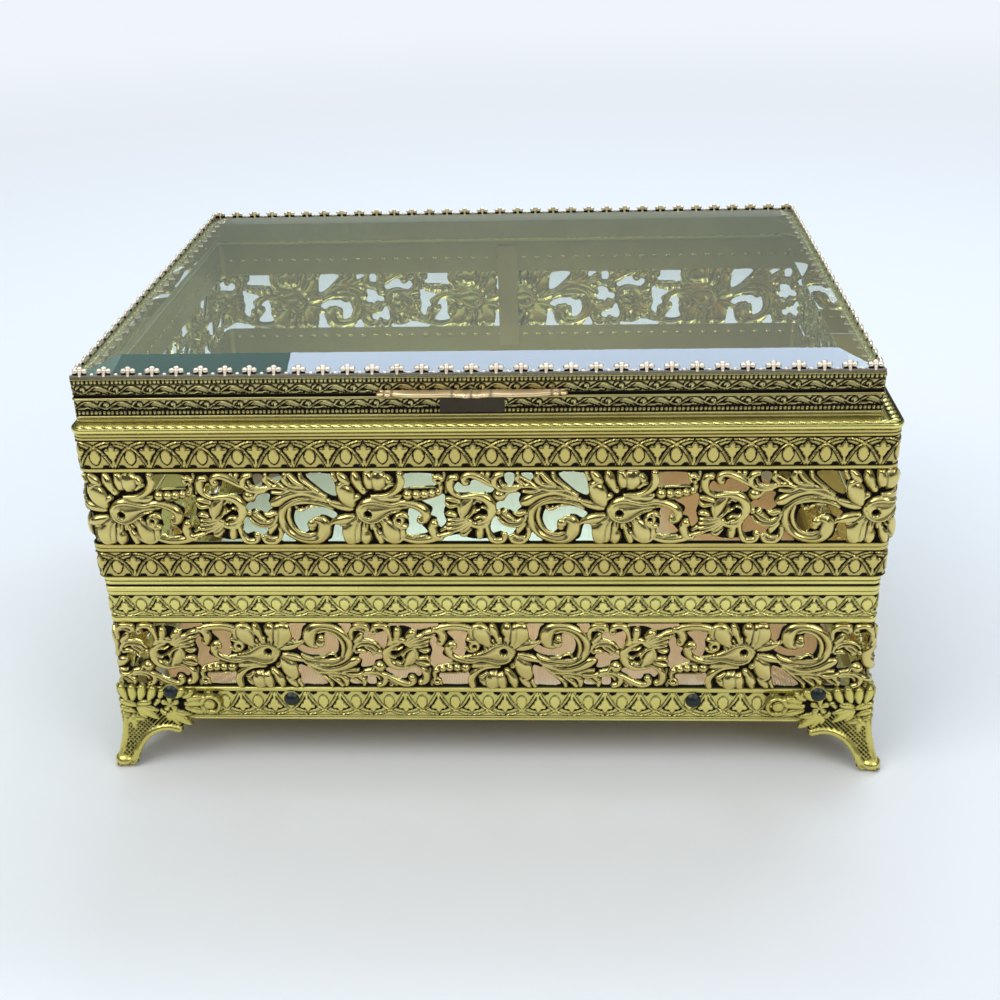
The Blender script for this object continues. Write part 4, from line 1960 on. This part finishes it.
FOOT = (
    Stroke(arc(26.5, 5.8, 2.6, -165, 170, 13), (0.55,) * 13, 0.7, 0.5),
    knob(26.1, 5.8, 1.75, 0.6, 0.35),
    Stroke(((24.4, 8.2), (22.2, 8.0), (20.0, 7.3)), (0.4, 0.9, 0.5), 0.5, 0.6, 1),
    Stroke(((25.0, 6.6), (22.6, 6.3), (19.3, 5.9)), (0.4, 1.15, 0.6), 0.55, 0.65, 1),
    Stroke(((24.6, 3.2), (22.2, 3.8), (19.4, 4.5)), (0.3, 1.1, 0.6), 0.55, 0.65, 1),
    Stroke(((20.1, -1.2), (18.6, -0.1), (16.8, 1.2), (14.6, 3.0)), (0.3, 1.05, 1.3, 0.6), 0.55, 0.7, 1),
    Stroke(((16.3, -1.1), (15.3, 0.8), (14.4, 2.8)), (0.35, 0.95, 0.5), 0.5, 0.65, 1),
    Stroke(((13.9, 0.0), (13.8, 1.4), (14.0, 2.8)), (0.3, 0.8, 0.4), 0.5, 0.6, 1),
    Stroke(((19.8, 2.3), (17.4, 2.7), (15.0, 3.2)), (0.35, 1.0, 0.5), 0.5, 0.65, 1),
    knob(15.5, 10.0, 2.5, 0.5, 0.02),
    Stroke(((1.2, 11.4), (1.6, 9.4), (2.2, 7.8)), (0.9, 1.1, 0.6), 0.5, 0.7, 1),
    Stroke(((4.2, 11.0), (4.2, 9.2), (4.0, 7.4)), (1.1, 1.2, 0.6), 0.5, 0.75, 1),
    Stroke(((7.2, 11.2), (6.8, 9.4), (6.2, 7.6)), (1.1, 1.2, 0.6), 0.5, 0.75, 1),
    Stroke(((10.2, 10.7), (9.6, 9.0), (8.8, 7.4)), (1.1, 1.15, 0.5), 0.5, 0.75, 1),
    Stroke(((12.7, 10.0), (12.1, 8.4)), (0.9, 0.7), 0.5, 0.65, 1),
    Stroke(((18.6, 10.4), (17.8, 9.2), (16.8, 8.2)), (0.95, 1.0, 0.5), 0.5, 0.7, 1),
    Stroke(((21.3, 9.9), (20.2, 8.9), (19.0, 8.2)), (0.85, 0.9, 0.5), 0.5, 0.65, 1),
    Stroke(((0.6, 6.8), (2.4, 6.2), (4.4, 5.4)), (0.7, 1.1, 0.6), 0.5, 0.7, 1),
    Stroke(((0.6, 4.5), (2.0, 4.0), (3.6, 3.4)), (0.7, 1.0, 0.5), 0.5, 0.7, 1),
    Stroke(((8.6, 6.3), (7.0, 6.2), (5.6, 5.9)), (0.7, 0.9, 0.5), 0.5, 0.7, 1),
    Stroke(((11.4, 6.9), (10.4, 5.7)), (0.7, 0.5), 0.5, 0.6),
    Stroke(((10.6, 0.8), (9.2, 1.9), (7.6, 3.2), (5.4, 4.6)), (0.3, 1.0, 1.25, 0.6), 0.55, 0.7, 1),
    Stroke(((10.9, 3.6), (8.4, 4.4), (5.8, 4.9)), (0.3, 0.95, 0.5), 0.5, 0.65, 1),
    Stroke(((7.2, 1.2), (6.2, 2.6), (5.2, 4.2)), (0.35, 0.9, 0.5), 0.5, 0.65, 1),
    Stroke(((1.9, -0.3), (2.6, 0.6), (3.4, 1.4)), (0.5, 0.9, 0.6), 0.5, 0.65, 1),
    Stroke(((5.9, 0.5), (4.8, 0.9), (3.6, 1.2)), (0.5, 0.9, 0.6), 0.5, 0.65, 1),
    Stroke(((3.5, -2.0), (3.4, -0.4), (3.4, 1.0)), (0.4, 0.95, 0.6), 0.5, 0.65, 1),
    knob(3.4, 1.5, 0.55, 0.9, 0.5),
    Stroke(((0.7, 2.6), (1.8, 1.9)), (0.6, 0.7), 0.5, 0.6),
    Stroke(((11.8, 3.6), (12.6, 2.6)), (0.5, 0.7), 0.5, 0.6),
    Stroke(((1.9, -12.4), (2.8, -11.0), (4.5, -7.7), (6.9, -4.7), (9.9, -2.8), (13.0, -2.1), (16.2, -2.7)),
           (1.0,) * 7, 0.7, 0.6),
    Stroke(((1.0, 1.4), (0.8, -1.8), (-0.1, -6.0), (-1.3, -10.0), (-2.1, -12.2)),
           (0.5, 0.85, 0.85, 0.85, 0.85), 0.7, 0.2),
) + flower(14.7, 5.8, 1.5, 5, 90)

# Fine crossed ridges on the leg
HATCH = tuple(Stroke(((a - way * 9, -15), (a + way * 9, 3)), (0.16, 0.16), 0.4, 0.2)
              for way in (-1, 1) for a in np.arange(-14, 14, 1.3))


@dataclass(frozen=True)
class Feet:
    """The four corner feet: flowered wings on the walls and a leg that flares to a round toe.

    Attributes:
        x: Half the distance between the feet's outer faces along X.
        y: The same along Y.
        level: Level of the case's lower edge.
        reach: How far a wing runs along its wall.
        top: Height of the wings above the case's lower edge.
        flare: How far the toe stands out.
        power: How late the leg flares.
        bend: Radius of the folded corner.
        toe: Radius of the round toe.
        toe_rise: Half its height.
        toe_inset: How far in from the flared corner its middle lies.
        thickness: Thickness of the sheet.
        step: Distance between mesh points.
    """

    x: float = 106.4
    y: float = 81.4
    level: float = 14.2
    reach: float = 30.0
    top: float = 13.1
    flare: float = 3.5
    power: float = 1.7
    bend: float = 1.0
    toe: float = 3.0
    toe_rise: float = 1.9
    toe_inset: float = 2.9
    thickness: float = 1.3
    step: float = 0.32

    def flared(self, z: np.ndarray) -> np.ndarray:
        """How far out the leg lies: flare * (depth / height) ^ power below the case's edge."""
        return self.flare * (np.clip(-z, 0, None) / self.level)**self.power

    def from_corner(self, t: np.ndarray, z: np.ndarray) -> np.ndarray:
        """Turns distance along the folded sheet into the drawing's distance from the corner."""
        return np.abs(t) - self.flared(z) + self.bend * (1 - math.pi / 4)

    def surface(self, t: np.ndarray, z: np.ndarray, out: np.ndarray) -> np.ndarray:
        """Places on the folded sheet: straight wings joined by a quarter circle at the corner.

        Args:
            t: Distances along the sheet from the fold.
            z: Heights above the case's lower edge.
            out: How far out of the sheet.

        Returns:
            The places, with the corner at the origin.
        """
        flared = self.flared(z)
        arc_half = math.pi / 4 * self.bend
        turn = np.radians(225) + np.clip(t, -arc_half, arc_half) / self.bend
        beyond = np.clip(np.abs(t) - arc_half, 0, None)
        radius = self.bend + out
        return np.stack([self.bend - flared + radius * np.cos(turn) + np.where(t > 0, beyond, 0),
                         self.bend - flared + radius * np.sin(turn) + np.where(t < 0, beyond, 0), z], -1)

    def build(self) -> None:
        """Makes the four feet.

        The drawing is raised on the folded sheet, its outline is cut along the contour of the
        leaves and the leg, and a round toe closes the leg's end.
        """
        drawn = Relief(self.reach + 6, -15.0, 14.0, 0.16, repeats=False, first=-6.0)
        for stroke in FOOT:
            drawn.ridge(stroke)
        leaves = drawn.inside.copy()
        for stroke in HATCH:
            drawn.ridge(stroke)
        metal = np.maximum(leaves, drawn.depth_in((LEG, GROUND), -15.0, 12.0))
        columns = 2 * round(self.reach / self.step) + 1
        rows = round((self.level + self.top) / self.step) + 1
        share, z = np.meshgrid(np.linspace(-1, 1, columns), np.linspace(-self.level, self.top, rows))
        t = share * (self.reach + self.flared(z) - self.bend * (1 - math.pi / 4))

        def read(values: np.ndarray, at_t: np.ndarray, at_z: np.ndarray) -> np.ndarray:
            """Reads a drawing on the folded sheet."""
            return drawn.sample(values, self.from_corner(at_t, at_z), at_z)

        t, z, depth = moved_onto_edge(lambda a, b: read(metal, a, b), t, z, self.step)
        raised, ground = 0.9, 0.5
        leg_levels, leg_limits = (-12, -6), (0.0, 1.2)
        out = np.minimum(raised * read(drawn.height, t, z) - ground, np.interp(z, leg_levels, leg_limits))
        front, back = self.surface(t, z, out), self.surface(t, z, np.full_like(out, -self.thickness))
        faces, recess = cut_cells(depth, self.step), read(drawn.recess(), t, z)
        middle = self.toe_inset - self.flare
        for name, side_x, side_y in (("front_left", -1, -1), ("front_right", 1, -1),
                                     ("back_left", -1, 1), ("back_right", 1, 1)):
            solid = Solid()
            solid.add_shell(front, back, faces, recess, 0.4)
            solid.add_ball((middle, middle, self.toe_rise - self.level),
                           (self.toe, self.toe, self.toe_rise), 28, 14)
            solid.place(np.array([side_x * self.x, side_y * self.y, self.level]),
                        np.array([-side_x, -side_y, 1]))
            fit(solid.make(f"leaf_foot_{name}", Finish.FOOT.material(), sharp=65), "case", Finish.FOOT,
                f"foot_{name}")


# ---- fittings, studio and camera ----


@dataclass(frozen=True)
class Fittings:
    """The solids whose own shape is kept and that only need a finish."""

    finishes: tuple[tuple[Finish, tuple[str, ...]], ...] = (
        (Finish.PAN, ("lower_seam_plate", "upper_seam_plate", "bottom_pan", "glass_retainer")),
        (Finish.DARK, ("collar_lap_plate",)),
        (Finish.CARD, ("lining_card",)),
        (Finish.RIVET, ("foot_rivets", "pan_rivets")),
        (Finish.HINGE, ("hinge_left_case_leaf", "hinge_left_lid_leaf", "hinge_right_case_leaf",
                        "hinge_right_lid_leaf", "hinge_case_rivets", "hinge_lid_rivets")),
        (Finish.PIN, ("hinge_left_pin", "hinge_right_pin")),
        (Finish.GLASS, ("glass_panel",)))

    def build(self) -> None:
        """Gives each kept solid its material."""
        for finish, names in self.finishes:
            for name in names:
                node = frame["nodes"][name]
                node.data.materials.clear()
                node.data.materials.append(finish.material())
                for slot in node.material_slots:
                    slot.material = finish.material()
                log.info("%s: finished as %s", name, finish.value.name)


@dataclass(frozen=True)
class Lamp:
    """A soft rectangular lamp.

    Attributes:
        name: Its name.
        place: Where it hangs, in metres.
        target: Where it points, in metres.
        size: Its width and height, in metres.
        power: Its power, in watts.
        colour: Its colour.
    """

    name: str
    place: tuple[float, float, float]
    target: tuple[float, float, float]
    size: Pair
    power: float
    colour: Colour = (1.0, 1.0, 1.0)

    def hang(self) -> None:
        """Adds the lamp to the scene."""
        data = bpy.data.lights.new(self.name, "AREA")
        data.shape = "RECTANGLE"
        data.size, data.size_y = self.size
        data.energy = self.power
        data.color = self.colour
        lamp = bpy.data.objects.new(self.name, data)
        lamp.location = self.place
        lamp.rotation_euler = (Vector(self.target) - Vector(self.place)).to_track_quat("-Z", "Y").to_euler()
        bpy.context.scene.collection.objects.link(lamp)


@dataclass(frozen=True)
class Studio:
    """A pale floor, soft lamps and the camera.

    Attributes:
        eye: Where the camera stands, in millimetres.
        yaw: Its turn to the right, in degrees.
        pitch: How far it looks down, in degrees.
        roll: Its roll, in degrees.
        lens: Focal length on a 36 mm sensor.
        reach: Half the floor's width, in metres.
        lamps: The lamps: two in front, and two strips high behind.
    """

    eye: tuple[float, float, float] = (23.4, -392.2, 241.5)
    yaw: float = -3.486
    pitch: float = 26.695
    roll: float = -1.790
    lens: float = 48.285
    reach: float = 6.0
    lamps: tuple[Lamp, ...] = (
        Lamp("key", (-0.7, -0.5, 1.1), (0, 0, 0.05), size=(0.8, 0.8), power=5.5),
        Lamp("fill", (0.9, -0.8, 0.8), (0, 0, 0.05), size=(0.65, 0.65), power=3.4),
        Lamp("window", (0.19, 0.62, 1.08), (0.0, 0, 0.1), size=(1.02, 0.2), power=6.8,
             colour=(0.66, 0.80, 1.0)),
        Lamp("garden", (-0.645, 0.62, 1.08), (-0.64, 0, 0.1), size=(0.69, 0.2), power=0.35,
             colour=(0.1, 1.0, 0.8)))

    def camera(self) -> None:
        """Sets the camera up from its three turns."""
        data = bpy.data.cameras.new("camera")
        data.lens = self.lens
        data.sensor_width = 36.0
        data.clip_start = 0.01
        data.clip_end = 100.0
        yaw, pitch, roll = (math.radians(v) for v in (self.yaw, self.pitch, self.roll))
        ahead = np.array([math.sin(yaw) * math.cos(pitch), math.cos(yaw) * math.cos(pitch),
                          -math.sin(pitch)])
        right = np.array([math.cos(yaw), -math.sin(yaw), 0])
        up = np.cross(right, ahead)
        turned_right = math.cos(roll) * right + math.sin(roll) * up
        turned_up = math.cos(roll) * up - math.sin(roll) * right
        camera = bpy.data.objects.new("camera", data)
        turn = np.eye(4)
        turn[:3, :3] = np.stack([turned_right, turned_up, -ahead], 1)
        turn[:3, 3] = np.array(self.eye) * MM
        camera.matrix_world = Matrix(turn.tolist())
        bpy.context.scene.collection.objects.link(camera)
        bpy.context.scene.camera = camera

    def floor(self) -> None:
        """Lays a wide pale floor."""
        mesh = bpy.data.meshes.new("floor")
        signs = ((-1, -1), (1, -1), (1, 1), (-1, 1))
        mesh.from_pydata([(x * self.reach, y * self.reach, 0) for x, y in signs], [], [(0, 1, 2, 3)])
        mesh.materials.append(Finish.FLOOR.material())
        floor = bpy.data.objects.new("floor", mesh)
        bpy.context.scene.collection.objects.link(floor)
        floor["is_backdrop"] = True

    def world(self) -> None:
        """Sets a sky that is dim near the horizon and bright overhead; the camera sees it pale all over."""
        world = bpy.data.worlds.new("sky")
        world.use_nodes = True
        wires = Wiring(world.node_tree)
        height = wires.add("SeparateXYZ", "Z", {"Vector": wires.add("TexCoord", "Generated")})
        horizon, overhead = 0.08, 1.0
        glow = wires.ranged(height, 0.25, 0.85, horizon, overhead, "SMOOTHSTEP")
        seen = wires.maths("MAXIMUM", wires.add("LightPath", "Is Camera Ray"), glow)
        wires.feed(world.node_tree.nodes["Background"], {"Color": (0.88, 0.94, 1.0), "Strength": seen})
        bpy.context.scene.world = world

    def build(self) -> None:
        """Sets up the studio."""
        bpy.context.scene.view_settings.view_transform = "Standard"
        self.camera()
        self.floor()
        self.world()
        for lamp in self.lamps:
            lamp.hang()


def corners(box: tuple) -> list:
    """A box's two corners as plain lists."""
    return [[float(v) for v in corner] for corner in box]


def main() -> None:
    """Builds the casket and reports each piece."""
    logging.basicConfig(level=logging.INFO, format="%(name)s: %(message)s")
    solid_box = corners(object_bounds())
    drawings = Drawings.draw()
    Case().build(drawings)
    Lid().build(drawings)
    Feet().build()
    Lining().build()
    Fittings().build()
    Studio().build()
    {"solids": solid_box, "dressed": corners(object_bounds())}
    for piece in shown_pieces():
        log.info("%s rides on %s", piece.name, body_of(piece))


if __name__ == "__main__":
    main()
